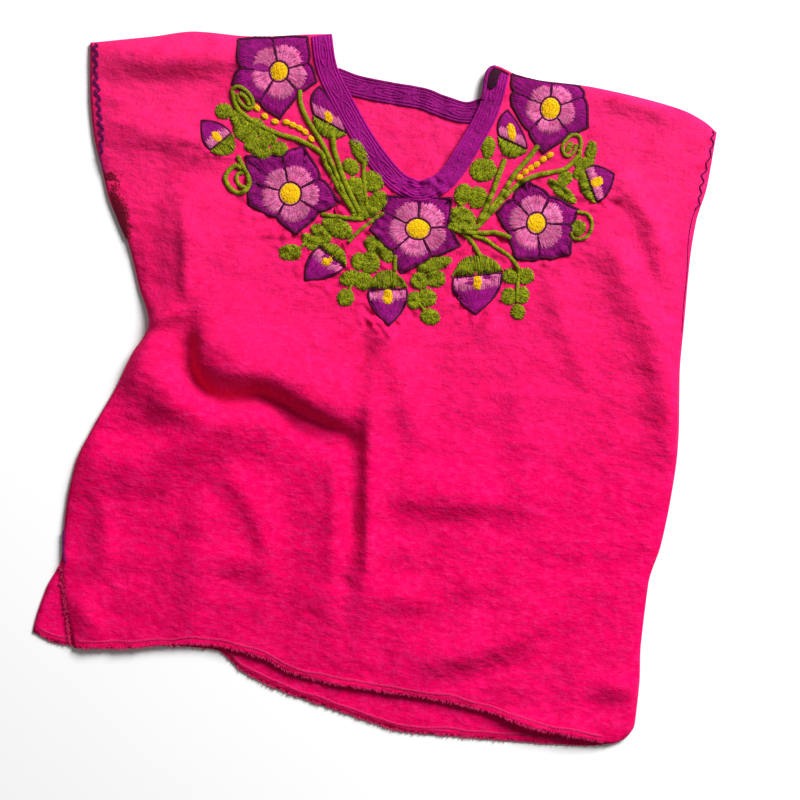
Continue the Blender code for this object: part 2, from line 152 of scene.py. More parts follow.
# The lower edge of each panel: across, height
FRONT_HEM = [
    (-252, -303),
    (-196, -295),
    (-157, -286),
    (-112, -281),
    (-66, -286),
    (-34, -297),
    (7, -302),
    (118, -304),
    (169, -309),
    (211, -318),
    (252, -321),
    (290, -323),
]
BACK_HEM = [
    (-292, -293),
    (-266, -301),
    (-240, -300),
    (-176, -289),
    (-111, -285),
    (-81, -303),
    (-42, -316),
    (10, -327),
    (52, -335),
    (83, -340),
    (143, -337),
    (223, -332),
    (268, -328),
    (290, -323),
]

# The shoulder fold on each side of the neck, and the neck edges: across, height
LEFT_SHOULDER = [(-319, 298), (-261, 312), (-213, 324), (-167, 326), (-101, 337), (-82, 340)]
RIGHT_SHOULDER = [
    (80, 328), (92, 330), (105, 326), (136, 323), (171, 324), (222, 321), (274, 314), (300, 305), (313, 296),
]
V_LEFT_ARM = [(-82, 340), (-72, 308), (-52, 278), (-24, 242), (5, 214), (26, 205)]
V_RIGHT_ARM = [(26, 205), (45, 219), (62, 254), (75, 290), (80, 328)]
BACK_NECK = [
    (-82, 340), (-77, 316), (-70, 307), (-47, 302), (-12, 300), (18, 299), (36, 295), (60, 291), (74, 296),
    (80, 328),
]

# Folds of the front panel. A ridge has a soft flank on the left of its route and a steep one on
# the right; a negative height is a trough. Fades are the lengths over which the ends die away.
FOLDS = [
    # name, height, soft flank, steep flank, fade in, fade out, route
    ("diagonal roll", 18, 46, 14, 30, 30, [(-160, 46), (-164, 20), (-158, 0), (-133, -7), (-104, -7),
        (-74, -15), (-45, -27), (-16, -37), (6, -42)]),
    ("under the roll", -9, 12, 13, 26, 26, [(-172, 33), (-181, 7), (-177, -16), (-158, -33), (-137, -40),
        (-118, -34), (-98, -29), (-77, -38), (-56, -49), (-22, -59), (5, -58)]),
    ("billow over the side", 18, 26, 32, 26, 60, [(-220, 30), (-219, 2), (-210, -25), (-187, -41),
        (-154, -47), (-120, -44)]),
    ("hip crest", 14, 34, 30, 40, 50, [(-272, -143), (-238, -123), (-203, -105), (-165, -83), (-136, -65),
        (-101, -50), (-54, -39)]),
    ("billow hollow", -6, 18, 18, 24, 30, [(-248, -99), (-218, -83), (-189, -70), (-158, -64)]),
    ("long hip ridge", 8, 28, 20, 30, 60, [(-141, -124), (-139, -168), (-145, -215), (-151, -271)]),
    ("short hip ridge", 7, 18, 13, 18, 26, [(-137, -112), (-109, -122), (-90, -143), (-78, -175),
        (-70, -201)]),
    ("skirt ridge", 7, 14, 26, 36, 60, [(-19, -61), (-9, -140), (-4, -210), (0, -280)]),
    ("centre ridge", 9, 24, 14, 40, 70, [(8, 39), (11, -16), (15, -66), (21, -126), (24, -186),
        (21, -262)]),
    ("fan ridge", 8, 22, 16, 22, 60, [(-3, 71), (17, 45), (37, 3), (55, -40), (66, -79)]),
    ("cross fold", 9, 36, 15, 22, 45, [(33, -100), (52, -106), (91, -107), (130, -100), (174, -90)]),
    ("long soft pleat", 4, 30, 18, 60, 70, [(142, 43), (159, -15), (177, -84), (194, -162)]),
    ("right side ridge", 9, 20, 20, 50, 50, [(204, 195), (246, 138), (278, 82), (302, 25), (327, -52)]),
    ("sleeve tuck", 8, 16, 12, 18, 25, [(220, 234), (252, 208), (272, 165), (280, 130)]),
    ("right shoulder roll", 7, 18, 13, 25, 25, [(190, 314), (233, 315), (274, 306)]),
    ("pleat below the right flower", 4, 16, 11, 20, 50, [(165, 139), (190, 80), (227, 14)]),
    ("pleat below the right bud", 3, 12, 10, 12, 24, [(98, 95), (114, 74), (129, 49)]),
    ("hem ripple", 9, 28, 15, 40, 50, [(78, -291), (113, -266), (151, -251), (179, -235), (207, -205),
        (233, -171)]),
    ("upper hem ripple", 4, 20, 13, 20, 30, [(30, -211), (67, -210), (111, -212)]),
    ("middle hem ripple", 4, 20, 13, 25, 30, [(104, -201), (146, -179), (185, -149)]),
    ("corner tuck", 7, 16, 11, 14, 20, [(267, -273), (289, -264), (317, -266)]),
    ("left shoulder roll", 12, 22, 14, 55, 14, [(-311, 282), (-257, 285), (-208, 293), (-163, 305)]),
    ("left sleeve fold", 10, 24, 15, 40, 25, [(-290, 200), (-250, 214), (-208, 214), (-166, 202)]),
    ("left flank ridge", 17, 54, 34, 30, 30, [(-207, 167), (-192, 122), (-189, 87), (-179, 54)]),
    ("underarm crest", 7, 22, 12, 16, 30, [(-231, 12), (-217, 28), (-188, 49), (-154, 64)]),
    ("hip smudge", 5, 16, 13, 18, 22, [(-117, -196), (-88, -200), (-52, -205)]),
    ("slit ridge", 5, 12, 12, 20, 30, [(-246, -145), (-233, -187), (-232, -237)]),
    ("lower slit ridge", 4, 12, 12, 15, 15, [(-254, -245), (-242, -269), (-230, -294)]),
    ("hem lift", 4, 14, 10, 30, 20, [(150, -308), (200, -316), (246, -320), (282, -322)]),
]
# Small creases on top of the folds, in the same columns
CREASES = [
    ("crest under the left sprays", 1.6, 9, 5, 15, 25, [(-125, 23), (-103, 47), (-77, 83)]),
    ("centre edge", 3.5, 12, 4, 40, 60, [(2, -13), (10, -67), (19, -126), (26, -186), (26, -220)]),
    ("skirt edge", 1, 8, 5, 30, 40, [(-24, -61), (-14, -141), (-4, -220)]),
    ("dark pucker", -5, 10, 8, 10, 10, [(-24, 1), (-11, 15), (2, 37)]),
    ("upper dark patch", -3.5, 8, 5, 12, 12, [(1, -110), (4, -133), (9, -160)]),
    ("lower dark patch", -3.5, 7, 6, 10, 10, [(-3, -206), (7, -202), (16, -197)]),
    ("underarm line", 5, 11, 4, 10, 16, [(-188, 48), (-206, 37), (-222, 29)]),
    ("flank edge", 4, 14, 5, 30, 20, [(-207, 155), (-196, 111), (-192, 77), (-185, 51)]),
    ("valley line", -5, 7, 6, 20, 20, [(-174, 27), (-181, 5), (-176, -16), (-158, -32), (-137, -40),
        (-118, -33), (-98, -29), (-77, -38), (-56, -50), (-22, -60), (3, -59)]),
    ("beside the left shoulder flower", 3.5, 12, 8, 14, 14, [(-165, 323), (-165, 294), (-165, 262)]),
    ("curved crease", 1.6, 6, 4, 10, 12, [(-65, 38), (-48, 29), (-30, 33), (-22, 44)]),
    ("press line", 0.9, 8, 4, 20, 30, [(187, -40), (220, -61), (239, -77), (241, -115), (238, -166)]),
    ("long press line", 0.8, 6, 4, 30, 40, [(75, 3), (135, 7), (195, 12), (245, 13)]),
    ("neck wrinkle", 1.2, 6, 5, 10, 15, [(275, 122), (291, 118), (305, 123)]),
    ("side wrinkle", 1, 5, 4, 8, 10, [(276, 84), (294, 80), (309, 86)]),
    ("sleeve wrinkle", 1.3, 7, 5, 12, 18, [(-304, 247), (-284, 243), (-263, 252)]),
    ("lower sleeve wrinkle", 1.2, 7, 5, 12, 18, [(-294, 216), (-271, 223), (-248, 220)]),
    ("edge wrinkle", 1.4, 6, 5, 8, 10, [(-270, -102), (-259, -94), (-246, -97)]),
    ("second edge wrinkle", 1.3, 6, 5, 8, 10, [(-269, -80), (-260, -72), (-246, -72)]),
]

# Five-petal flowers: place, the middle's half width and height, tips, notches, reach of the lilac
FLOWERS = [
    # name, x, y, half width, half height, tips and notches as (degrees, reach), lilac reach
    ("left_shoulder", -128, 295, 9.0, 9.8,
     [(59, 45), (150, 52), (203, 48), (279, 47), (353, 39)],
     [(25, 30), (110, 34), (183, 37), (245, 35), (323, 27)], 27),
    ("left", -100, 176, 10.5, 11.0,
     [(83, 50), (148, 58), (203, 43), (286, 41), (358, 50)],
     [(35, 33), (110, 37), (172, 40), (247, 26), (337, 33)], 28),
    ("middle", 31, 159, 12.0, 10.0,
     [(50, 45), (142, 46), (189, 48), (257, 48), (346, 46)],
     [(12, 28), (95, 30), (162, 37), (229, 32), (304, 29)], 28),
    ("right", 147, 181, 9.2, 10.2,
     [(26, 44), (111, 44), (173, 41), (248, 41), (326, 46)],
     [(6, 33), (71, 29), (142, 33), (205, 28), (285, 34)], 27),
    ("right_shoulder", 145, 296, 9.5, 11.2,
     [(49, 37), (146, 52), (182, 39), (269, 45), (342, 42)],
     [(28, 35), (96, 30), (163, 39), (234, 30), (315, 30)], 24),
]

# Petals swell past a straight line from tip to notch, and stop short of the shoulder fold
PETAL_BULGE = 0.07
SHOULDER_MARGIN = 1.8
# Stitches end this far inside the petal's edge, and none is shorter than this
RIM_MARGIN = 0.4
SHORTEST_STITCH = 2.0
# Lilac stitches fill this share of each half petal
LILAC_SHARE = 0.9

# Closed buds: middle of the base, tip, turn and width of the base, depth of the green cup behind
# it, and the yellow dab's length and width
BUDS = [
    # name, base x, base y, tip x, tip y, base turn in degrees, width, cup depth, dab length, dab width
    ("left_outer", -175, 217, -197, 236, 49, 27, 15, 12, 8),
    ("left_inner", -70, 250, -86, 286, -21, 37, 14, 13, 8),
    ("left_lower", -50, 120, -73, 93, -30, 33, 12, 12, 10),
    ("middle_lower", 9, 96, 16, 60, 9, 39, 18, 16, 10),
    ("right_lower", 96, 122, 100, 83, 14, 50, 20, 15, 9),
    ("right_inner", 113, 257, 103, 289, -17, 31, 15, 20, 8),
    ("right_outer", 195, 226, 217, 240, -62, 36, 11, 13, 10),
]

# A bud's stitches lie this close side by side, and its outline narrows to the tip by these powers
BUD_PITCH = 0.62
BUD_TAPER = (2.6, 1.15)
# The padding under a bud, and how far over the cloth its cup stands at its edge and above that
BUD_PADDING = 1.3
CUP_EDGE = 0.6
CUP_CROWN = 1.6
CUP_PITCH = 0.75

# Leaf lobes of each spray, as ovals
LEAVES = [
    # name, rows of (x, y, length, width, turn in degrees)
    ("left_top", [(-177, 248, 17, 16, 8), (-161, 243, 20, 17, -42), (-153, 231, 26, 21, -27),
        (-144, 238, 20, 16, -12), (-130, 229, 19, 18, 8), (-140, 218, 24, 17, -2), (-132, 212, 20, 12, 13),
        (-117, 218, 17, 16, 8)]),
    ("left_neck", [(-37, 228, 32, 15, -52), (-44, 211, 18, 15, -32), (-35, 192, 22, 17, -42),
        (-20, 200, 22, 22, 8), (-13, 180, 24, 18, 48), (-23, 169, 30, 15, 20), (-29, 181, 14, 10, 98)]),
    ("left_low", [(-92, 118, 22, 16, 8), (-74, 131, 21, 12, -39), (-67, 134, 13, 10, 68),
        (-64, 141, 24, 14, -32), (-49, 149, 33, 19, -20)]),
    ("middle_left", [(-10, 137, 21, 17, -27), (3, 129, 18, 13, -42), (-23, 119, 17, 15, 88),
        (-12, 119, 22, 20, 98), (-28, 101, 24, 15, 18), (-16, 100, 18, 18, 8), (-31, 81, 17, 17, 8)]),
    ("middle_low", [(52, 126, 36, 13, 25), (40, 108, 18, 17, 8), (55, 112, 20, 17, 18),
        (37, 88, 18, 14, 88), (49, 92, 19, 18, 8), (55, 74, 20, 16, -7)]),
    ("right_low", [(129, 125, 16, 15, 8), (143, 127, 18, 16, 8), (130, 105, 17, 15, 88),
        (143, 108, 17, 14, 88), (141, 91, 15, 14, 98)]),
    ("right_neck", [(89, 249, 22, 13, 93), (87, 226, 27, 23, 13), (71, 199, 22, 18, 88),
        (85, 198, 22, 20, 78), (74, 175, 30, 22, -27), (70, 166, 22, 10, 3)]),
    ("right_top", [(191, 260, 20, 11, 88), (186, 247, 20, 12, 18), (183, 237, 16, 12, 68),
        (169, 229, 16, 14, 58), (168, 216, 36, 11, -31), (169, 261, 12, 6, 68), (189, 182, 16, 14, 98)]),
]

# Leaves bigger than this area are filled with short stitches, this many to a square millimetre
SMALLEST_SEEDED = 90.0
SEEDS_PER_AREA = 0.33
SEED_WIDTH = 1.25

# Frayed threads along each hem, the left slit and the sleeve opening
HEM_THREADS = 850
SLIT_THREADS = 280
SLIT_TOP = -222
OPENING_THREADS = 240
HEM_THREAD_WIDTH = 0.55
SLIT_THREAD_WIDTH = 0.5
FRAY_RISE = 0.35

# Each hem's turned edge lies this far above it and runs between these places across
HEM_TURN = 6.5
FRONT_HEM_START = -248
BACK_HEM_START = -288
HEM_END = 286

# Sleeve stitches keep this far inside the front's sides
STITCH_INSET = 1.5

# Stems, curls and stalks, as cords
STEMS = [
    # name, half width, route
    ("left_long", 2.5, [(-171, 268), (-165, 254), (-153, 245), (-136, 238), (-119, 233), (-103, 231),
        (-89, 227), (-75, 220), (-69, 210), (-58, 195), (-50, 184), (-40, 173), (-34, 166)]),
    ("left_flower", 2.4, [(-105, 280), (-102, 266), (-93, 251), (-83, 239), (-74, 228), (-65, 214),
        (-56, 199), (-47, 184), (-38, 172)]),
    ("left_bud", 2.8, [(-66, 240), (-63, 226), (-57, 213), (-51, 201), (-44, 189), (-35, 175), (-29, 167)]),
    ("left_spray", 2.1, [(-32, 220), (-30, 203), (-27, 190), (-23, 175)]),
    ("left_low", 2.1, [(-67, 160), (-56, 160), (-45, 160), (-34, 160), (-24, 161)]),
    ("left_bud_low", 1.9, [(-5, 170), (-12, 164), (-19, 157), (-29, 146), (-36, 136)]),
    ("left_stalk", 1.6, [(-84, 122), (-80, 127), (-76, 132)]),
    ("left_curl", 2.4, [(-157, 206), (-152, 198), (-147, 192), (-142, 182), (-144, 173), (-151, 169),
        (-160, 173), (-166, 182), (-163, 191), (-157, 196), (-151, 193)]),
    ("left_curl_heart", 2.0, [(-144, 175), (-151, 177), (-155, 183), (-154, 188), (-149, 190)]),
    ("left_loop", 2, [(-171, 265), (-171, 271), (-166, 274), (-159, 272), (-152, 266), (-149, 259),
        (-152, 254), (-158, 256), (-164, 261), (-166, 267)]),
    ("left_loop_heart", 2.3, [(-164, 268), (-159, 266), (-155, 262), (-153, 257)]),
    ("right_mid", 2.6, [(138, 258), (129, 242), (119, 227), (112, 211), (105, 198), (97, 182), (90, 172)]),
    ("right_long", 2.4, [(179, 260), (180, 255), (177, 250), (172, 243), (165, 237), (151, 232), (138, 227),
        (125, 218), (114, 205), (105, 191), (95, 177), (88, 168), (76, 164)]),
    ("right_neck", 2.7, [(107, 240), (103, 222), (99, 203), (94, 185), (89, 173)]),
    ("right_loop", 1.9, [(180, 260), (180, 267), (177, 273), (170, 273), (165, 267), (162, 260), (165, 253),
        (170, 252), (174, 257), (176, 265)]),
    ("right_low", 2, [(85, 160), (98, 158), (110, 152), (124, 145), (132, 138), (136, 131), (137, 118),
        (139, 100)]),
    ("right_short", 2.3, [(60, 165), (69, 163), (79, 162), (97, 164), (106, 166), (115, 165), (124, 163)]),
    ("right_bud_low", 2.2, [(77, 160), (83, 156), (89, 150), (97, 140)]),
    ("right_curl", 1.8, [(185, 198), (189, 198), (196, 197), (201, 191), (202, 183), (199, 175), (192, 171),
        (185, 172), (182, 177)]),
    ("middle_bud", 2.1, [(12, 130), (13, 122), (14, 114)]),
    ("middle_stalk", 1.4, [(-27, 95), (-28, 91), (-29, 85)]),
    ("low_stalk", 1.4, [(42, 86), (46, 82), (51, 77)]),
]

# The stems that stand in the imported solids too
CAD_STEMS = {"left_long", "right_mid"}

# Yellow knots, each a short oval turned along its row
KNOT_SIZE = (7.6, 6.0)
KNOTS = [
    ("left", [(-145, 256), (-136, 249), (-125, 245), (-114, 246), (-107, 244), (-100, 242), (-94, 239),
        (-87, 233)]),
    ("right", [(151, 250), (145, 245), (139, 239), (134, 235), (129, 230), (124, 224)]),
]

# A stem's cord: the step along it, how high its middle line lies over the cloth (a height and a
# share of its half width), and its height to its width
STEM_STEP = 0.6
STEM_REST = 0.7
STEM_REST_SHARE = 0.25
STEM_FLATNESS = 0.72

# The neck bands lie along the neck's edges, just over them
BAND_OVERHANG = 0.6
BAND_HALF_WIDTH = 10.2
BACK_BAND_HALF_WIDTH = 10.6
BAND_OVAL = 36.0

# The right end of the neck stands up a little: the hollow seen inside, a dark patch of painted shade, and its
# two rims
HOLLOW_PAINTED_SHADE = [(83, 328), (88, 328), (93, 327), (90, 322), (89, 316), (88, 310), (83, 306), (80, 309), (79, 316),
    (80, 323)]
HOLLOW_BACK_RIM = [(76, 295), (77, 303), (77, 313), (78, 323), (81, 328), (86, 330)]
HOLLOW_FRONT_RIM = [(85, 330), (90, 329), (95, 327), (100, 325)]

# Sewn edges of the sleeves: route just inside the edge
SLEEVE_LEFT = [(-314, 298), (-311, 282), (-308, 262), (-303, 243), (-299, 225), (-296, 213), (-294, 204),
    (-293, 192), (-294, 181), (-289, 173)]
SLEEVE_RIGHT = [(308, 297), (310, 288), (310, 278), (308, 265), (306, 255), (305, 243), (305, 227),
    (304, 216)]
RIGHT_SIDE_SEAM = [(302, 216), (300, 201), (300, 181), (303, 151), (304, 121), (306, 94)]

# Purple hand stitches beside the slit
SLIT_STITCHES = [(-277, -188), (-276, -199), (-274, -211), (-271, -220)]

EDGE_STEP = 0.8
SLEEVE_EDGES = [
    # name, route, swing, pitch, rows of zigzag as (shift, share of the swing)
    ("left", SLEEVE_LEFT, 4.2, 10.5, [(0.0, 1.0), (2.6, 0.75)]),
    ("right", SLEEVE_RIGHT, 2.4, 12.0, [(0.0, 1.0)]),
]
PLAIN_SEAMS = [
    # name, route, half width
    ("side_seam_right", RIGHT_SIDE_SEAM, 0.45),
    ("slit_stitches", SLIT_STITCHES, 1.3),
]

# The frayed left slit of the front, and the sleeve opening at the left underarm, dark with painted shade
SLIT = [(-279, -203), (-274, -228), (-268, -252), (-261, -277), (-255, -299)]
OPENING_SHADES = [
    [(-288, 171), (-280, 173), (-275, 170), (-274, 166), (-279, 164), (-285, 164)],
    [(-280, 153), (-273, 153), (-267, 147), (-261, 138), (-257, 127), (-256, 117), (-256, 108), (-263, 119),
        (-271, 133)],
]
OPENING_RIM = [(-280, 172), (-273, 168), (-271, 161), (-275, 156), (-271, 151), (-264, 145), (-259, 136),
    (-255, 125), (-254, 114), (-254, 102)]

# The pink is paler and less deep above these heights, in metres
PALER_FROM = (-0.08, 0.26)

# Each thread's dark and light tones in sRGB, how strongly fuzz changes them, and its slot
THREADS = {
    "purple_thread": ((94, 0, 70), (190, 0, 150), 0.3, "purple_thread"),
    "lilac_thread": ((212, 60, 132), (255, 152, 206), 0.35, None),
    "plum_thread": ((46, 0, 30), (92, 4, 60), 0.3, None),
    "yellow_thread": ((250, 168, 0), (255, 222, 6), 0.15, "yellow_thread"),
    "green_thread": ((80, 82, 2), (174, 184, 8), 0.38, "green_thread"),
    "pink_thread": ((206, 2, 78), (255, 50, 130), 0.3, "pink_cotton"),
    # shade_pink: painted shade, for the dark sleeve opening
    "shade_pink": ((64, 0, 18), (170, 4, 60), 0.3, "pink_cotton"),
}

# The noises in every thread: features a metre, detail and roughness
THREAD_SPECK = (520, 3, 0.7)
THREAD_FIBRE = (1400, 2, 0.6)
THREAD_PATCH = (45, 2, 0.5)

# The pink, from its darker to its lighter dye and where it is paler, and the noise that mixes the dyes
COTTON_DARK = (248, 0, 93)
COTTON_LIGHT = (255, 3, 101)
COTTON_PALER = (250, 42, 114)
COTTON_BROAD = (9, 2, 0.5)
# The cloth's mottling: features a metre, detail, roughness and stretch of each noise
COTTON_NOISES = {
    "rumple": (62, 4, 0.6, (0.6, 1, 1)),
    "crinkle": (130, 5, 0.65, (0.8, 1, 1)),
    "nap_sheen": (420, 3, 0.6, (0.28, 1, 1)),
    "cross_nap": (420, 3, 0.6, (1, 0.28, 1)),
    "weave": (950, 2, 0.6, (1, 1, 1)),
}
# Tones laid over the pink where a noise is high, and the bumps
COTTON_TONES = [
    # noise, largest share, noise where it starts and is full, sRGB
    ("rumple", 0.5, 0.5, 0.7, (222, 0, 78)),
    ("crinkle", 0.5, 0.46, 0.66, (255, 34, 126)),
    # Lighter streaks of the fibres: a painted sheen of fibres catching the light
    ("nap_sheen", 0.4, 0.54, 0.7, (255, 50, 138)),
    ("cross_nap", 0.4, 0.53, 0.68, (214, 0, 74)),
    ("weave", 0.3, 0.5, 0.7, (226, 0, 80)),
]
COTTON_BUMPS = [
    # noise, height in metres, strength
    ("rumple", 0.0035, 0.8),
    ("crinkle", 0.0013, 0.9),
    ("nap_sheen", 0.0003, 0.7),
    ("cross_nap", 0.0004, 0.6),
]

# A flower's rings of stitches in the order of sewing, each between two of the lines in flower()
STITCH_RINGS = [
    # thread, count, outer line and shift, inner line and shift, jag, width, shade, rise, widest off the axis
    ("purple", 260, "purple half", 3, "lilac edge", -3, 2.5, 1.15, (0.25, 0.95), 0.5, 2.0),
    ("purple", 340, "edge", -0.5, "purple half", -2, 0.9, 1.15, (0.25, 0.95), 0.6, 2.0),
    ("purple", 120, "lilac edge", 1, "middle", 0, 0.5, 1.3, (0.0, 0.25), 0.5, 2.0),
    ("lilac", 150, "lilac edge", -1.5, "middle", -1, 0.8, 2.3, (0.2, 0.5), 0.45, LILAC_SHARE - 0.06),
    ("lilac", 220, "lilac half", 3, "middle", -1.5, 1.4, 1.1, (0.1, 1.0), 0.8, LILAC_SHARE),
    ("lilac", 330, "lilac edge", 0, "lilac half", -1, 1.8, 1.1, (0.1, 1.0), 0.95, LILAC_SHARE),
]

# Cords: sides of the cross-section, twist and pitch of the plies, darkest and lightest tone (painted shade in
# the ply grooves, painted highlight on their crowns)
CORDS = {
    "plain": (6, 0.0, 3.4, (0.4, 0.9)),
    "outline": (6, 0.12, 2.2, (0.4, 0.9)),
    "stem": (8, 0.07, 1.9, (0.1, 0.75)),
    "front band": (8, 0.06, 2.0, (0.4, 0.9)),
    # The band along the back neck has lower tones: painted shade where it lies out of the light
    "back band in painted shade": (8, 0.06, 2.0, (0.2, 0.6)),
    # The rim at the lifted end of the neck is darker still: painted shade in the hollow
    "corner band in painted shade": (8, 0.05, 2.0, (0.1, 0.5)),
    "corner rim": (8, 0.0, 3.4, (0.4, 0.9)),
    "zigzag": (6, 0.08, 2.0, (0.0, 0.25)),
    "seam": (6, 0.1, 2.4, (0.0, 0.4)),
    "hem": (6, 0.0, 3.4, (0.2, 0.45)),
}

# A thread's cross-sections along its length: where they are, their lift and width, and the tones across,
# painted shade darkening each thread's two sides
THREAD_SHARES = np.array([0, 0.12, 0.5, 0.88, 1])
THREAD_LIFT = np.array([-0.5, 0.8, 1.0, 0.8, -0.5])
THREAD_WIDTHS = np.array([0.5, 1, 1, 1, 0.5])
THREAD_EDGE_SHADE = np.array([0.55, 1.0, 0.55])

# A padded body's rings, as shares of the way from its centre to its outline
DOME_RINGS = (0.3, 0.55, 0.75, 0.9, 1.0)

# Lines along the neck band, as shares of its half width
BAND_SHARES = np.array([1, 0.85, 0.5, 0, -0.5, -0.85, -1])

# Lines over a bud's cup from its rim to its back, and how full it is there
CUP_SHARES = np.array([0, 0.25, 0.5, 0.75, 1])
CUP_PUFF = np.array([0.1, 0.8, 1, 0.8, 0.1])

# Sides of the outlines of a flower, its middle and a leaf lobe
FLOWER_SIDES = 180
MIDDLE_SIDES = 48
LOBE_SIDES = 28

# How far padded bodies reach down into the cloth, and a cord's ends as a share of its width
SUNK = 0.4
CORD_END = 0.45

# The padded strip under the neck band's cords: its height at the edge and above that, and its depth
BAND_EDGE = 0.6
BAND_CROWN = 1.15
BAND_SUNK = 0.3


def slopes_between(xs, ys):
    """Tangents at the table's points that keep a cubic curve from overshooting them."""
    steps = np.diff(xs)
    chords = np.diff(ys) / steps
    tangents = np.empty(len(xs))
    tangents[0], tangents[-1] = chords[0], chords[-1]
    for i in range(1, len(xs) - 1):
        before, after = chords[i - 1], chords[i]
        if before * after <= 0:
            tangents[i] = 0
            continue
        weight_before = 2 * steps[i] + steps[i - 1]
        weight_after = steps[i] + 2 * steps[i - 1]
        tangents[i] = (weight_before + weight_after) / (weight_before / before + weight_after / after)
    return tangents


def curve_through(table):
    """A function that runs smoothly through a table's (place, value) rows."""
    xs = np.array([row[0] for row in table], float)
    ys = np.array([row[1] for row in table], float)
    tangents = slopes_between(xs, ys)

    def value(x):
        x = np.clip(np.asarray(x, float), xs[0], xs[-1])
        i = np.clip(np.searchsorted(xs, x, side="right") - 1, 0, len(xs) - 2)
        h = xs[i + 1] - xs[i]
        t = (x - xs[i]) / h
        start = (1 + 2 * t) * (1 - t) ** 2 * ys[i] + t * (1 - t) ** 2 * h * tangents[i]
        end = t * t * (3 - 2 * t) * ys[i + 1] + t * t * (t - 1) * h * tangents[i + 1]
        return start + end

    return value


def route_through(points, step):
    """Points a step apart along a smooth route through the given ones (any number of columns)."""
    p = np.array(points, float)
    p = np.vstack([2 * p[0] - p[1], p, 2 * p[-1] - p[-2]])
    made = []
    for i in range(1, len(p) - 2):
        pieces = max(1, round(float(np.linalg.norm((p[i + 1] - p[i])[:2])) / step))
        for t in np.arange(pieces) / pieces:
            made.append(
                0.5 * (2 * p[i] + (p[i + 1] - p[i - 1]) * t
                       + (2 * p[i - 1] - 5 * p[i] + 4 * p[i + 1] - p[i + 2]) * t * t
                       + (3 * p[i] - p[i - 1] - 3 * p[i + 1] + p[i + 2]) * t ** 3)
            )
    made.append(p[-2])
    return np.array(made)


def smoothstep(t):
    """A soft step from 0 to 1."""
    t = np.clip(t, 0, 1)
    return t * t * (3 - 2 * t)


def unit(vectors):
    """Vectors brought to length 1."""
    return vectors / np.maximum(np.linalg.norm(vectors, axis=-1, keepdims=True), 0.0001)


def leftward(line):
    """Unit vectors to the left of a flat line, at each of its points."""
    run = np.gradient(line, axis=0)
    return unit(np.stack([-run[:, 1], run[:, 0]], axis=-1))


def travelled_along(line):
    """How far along a line each of its points lies."""
    return np.concatenate([[0], np.cumsum(np.linalg.norm(np.diff(line, axis=0), axis=1))])


def around(count):
    """Even angles all the way round."""
    return np.linspace(0, 2 * math.pi, count, endpoint=False)


def axes_at(degrees):
    """Unit vectors along and across what is turned by this angle."""
    turn = math.radians(degrees)
    return np.array([math.cos(turn), math.sin(turn)]), np.array([-math.sin(turn), math.cos(turn)])


def over(surface, places):
    """A surface's heights at plan places (..., 2)."""
    return surface(places[..., 0], places[..., 1])


def lifted(places, heights):
    """Plan places with heights as a third column."""
    return np.concatenate([places, heights[..., None]], axis=-1)


def on_surface(route, surface, lift):
    """A flat route set at a height above a surface."""
    return lifted(route, over(surface, route) + lift)


def raised(surface, lift):
    """A surface moved up."""
    return lambda x, y: surface(x, y) + lift


def fold_height(
    x, y, height, soft, steep, fade_in, fade_out, route, step=FOLD_STEP, narrowest=NARROWEST_FLANK,
):
    """How much one fold raises the cloth at each (x, y), in millimetres.

    Each point of the route adds a smooth bump whose width turns from soft to steep round it.
    """
    line = route_through(route, step)
    runs = np.gradient(line, axis=0)
    lengths = np.linalg.norm(runs, axis=1)
    travelled = travelled_along(line)
    ends = smoothstep(travelled / fade_in) * smoothstep((travelled[-1] - travelled) / fade_out)
    soft, steep = max(soft, narrowest), max(steep, narrowest)
    total = np.zeros(x.shape)
    for point, run, length, share in zip(line, runs, lengths, ends):
        dx, dy = x - point[0], y - point[1]
        away = np.hypot(dx, dy)
        left_share = (run[0] * dy - run[1] * dx) / (length * np.maximum(away, 0.001))
        flank = (soft + steep) / 2 + (soft - steep) / 2 * left_share
        total += share * length * np.exp(-(away / flank) ** 2)
    return height * total / (math.sqrt(math.pi) * (soft + steep) / 2)


left_side = curve_through([(y, left) for y, left, right in SIDES])
right_side = curve_through([(y, right) for y, left, right in SIDES])
back_left_side = curve_through(BACK_LEFT + [(y, left) for y, left, right in SIDES if y > BACK_LEFT[-1][0]])
front_hem, back_hem, left_shoulder, right_shoulder, v_left_arm, v_right_arm, back_neck = (
    curve_through(table)
    for table in (FRONT_HEM, BACK_HEM, LEFT_SHOULDER, RIGHT_SHOULDER, V_LEFT_ARM, V_RIGHT_ARM, BACK_NECK)
)

TOP_LEFT, NECK_LEFT = LEFT_SHOULDER[0][0], LEFT_SHOULDER[-1][0]
NECK_RIGHT, TOP_RIGHT = RIGHT_SHOULDER[0][0], RIGHT_SHOULDER[-1][0]
APEX = V_LEFT_ARM[-1][0]


def shoulder_line(x):
    """The upper edge of the cloth, straight across the neck."""
    across_neck = np.interp(x, [NECK_LEFT, NECK_RIGHT], [LEFT_SHOULDER[-1][1], RIGHT_SHOULDER[0][1]])
    beside_neck = np.where(x < APEX, left_shoulder(x), right_shoulder(x))
    return np.where((x > NECK_LEFT) & (x < NECK_RIGHT), across_neck, beside_neck)


def front_top(x):
    """The front panel's upper edge: shoulders, and the V between them."""
    neck = np.where(x < APEX, v_left_arm(x), v_right_arm(x))
    return np.where((x > NECK_LEFT) & (x < NECK_RIGHT), neck, shoulder_line(x))


def back_top(x):
    """The back panel's upper edge: shoulders, and the shallow neck between them."""
    return np.where((x > NECK_LEFT) & (x < NECK_RIGHT), back_neck(x), shoulder_line(x))


def columns(cells):
    """Shares of the width at which a panel's columns stand, with one on each corner of the neck."""
    corners = [TOP_LEFT, NECK_LEFT, APEX, NECK_RIGHT, TOP_RIGHT]
    xs = [TOP_LEFT]
    for start, end, count in zip(corners, corners[1:], cells):
        xs += [start + (end - start) * (i + 1) / count for i in range(count)]
    return (np.array(xs) - TOP_LEFT) / (TOP_RIGHT - TOP_LEFT)


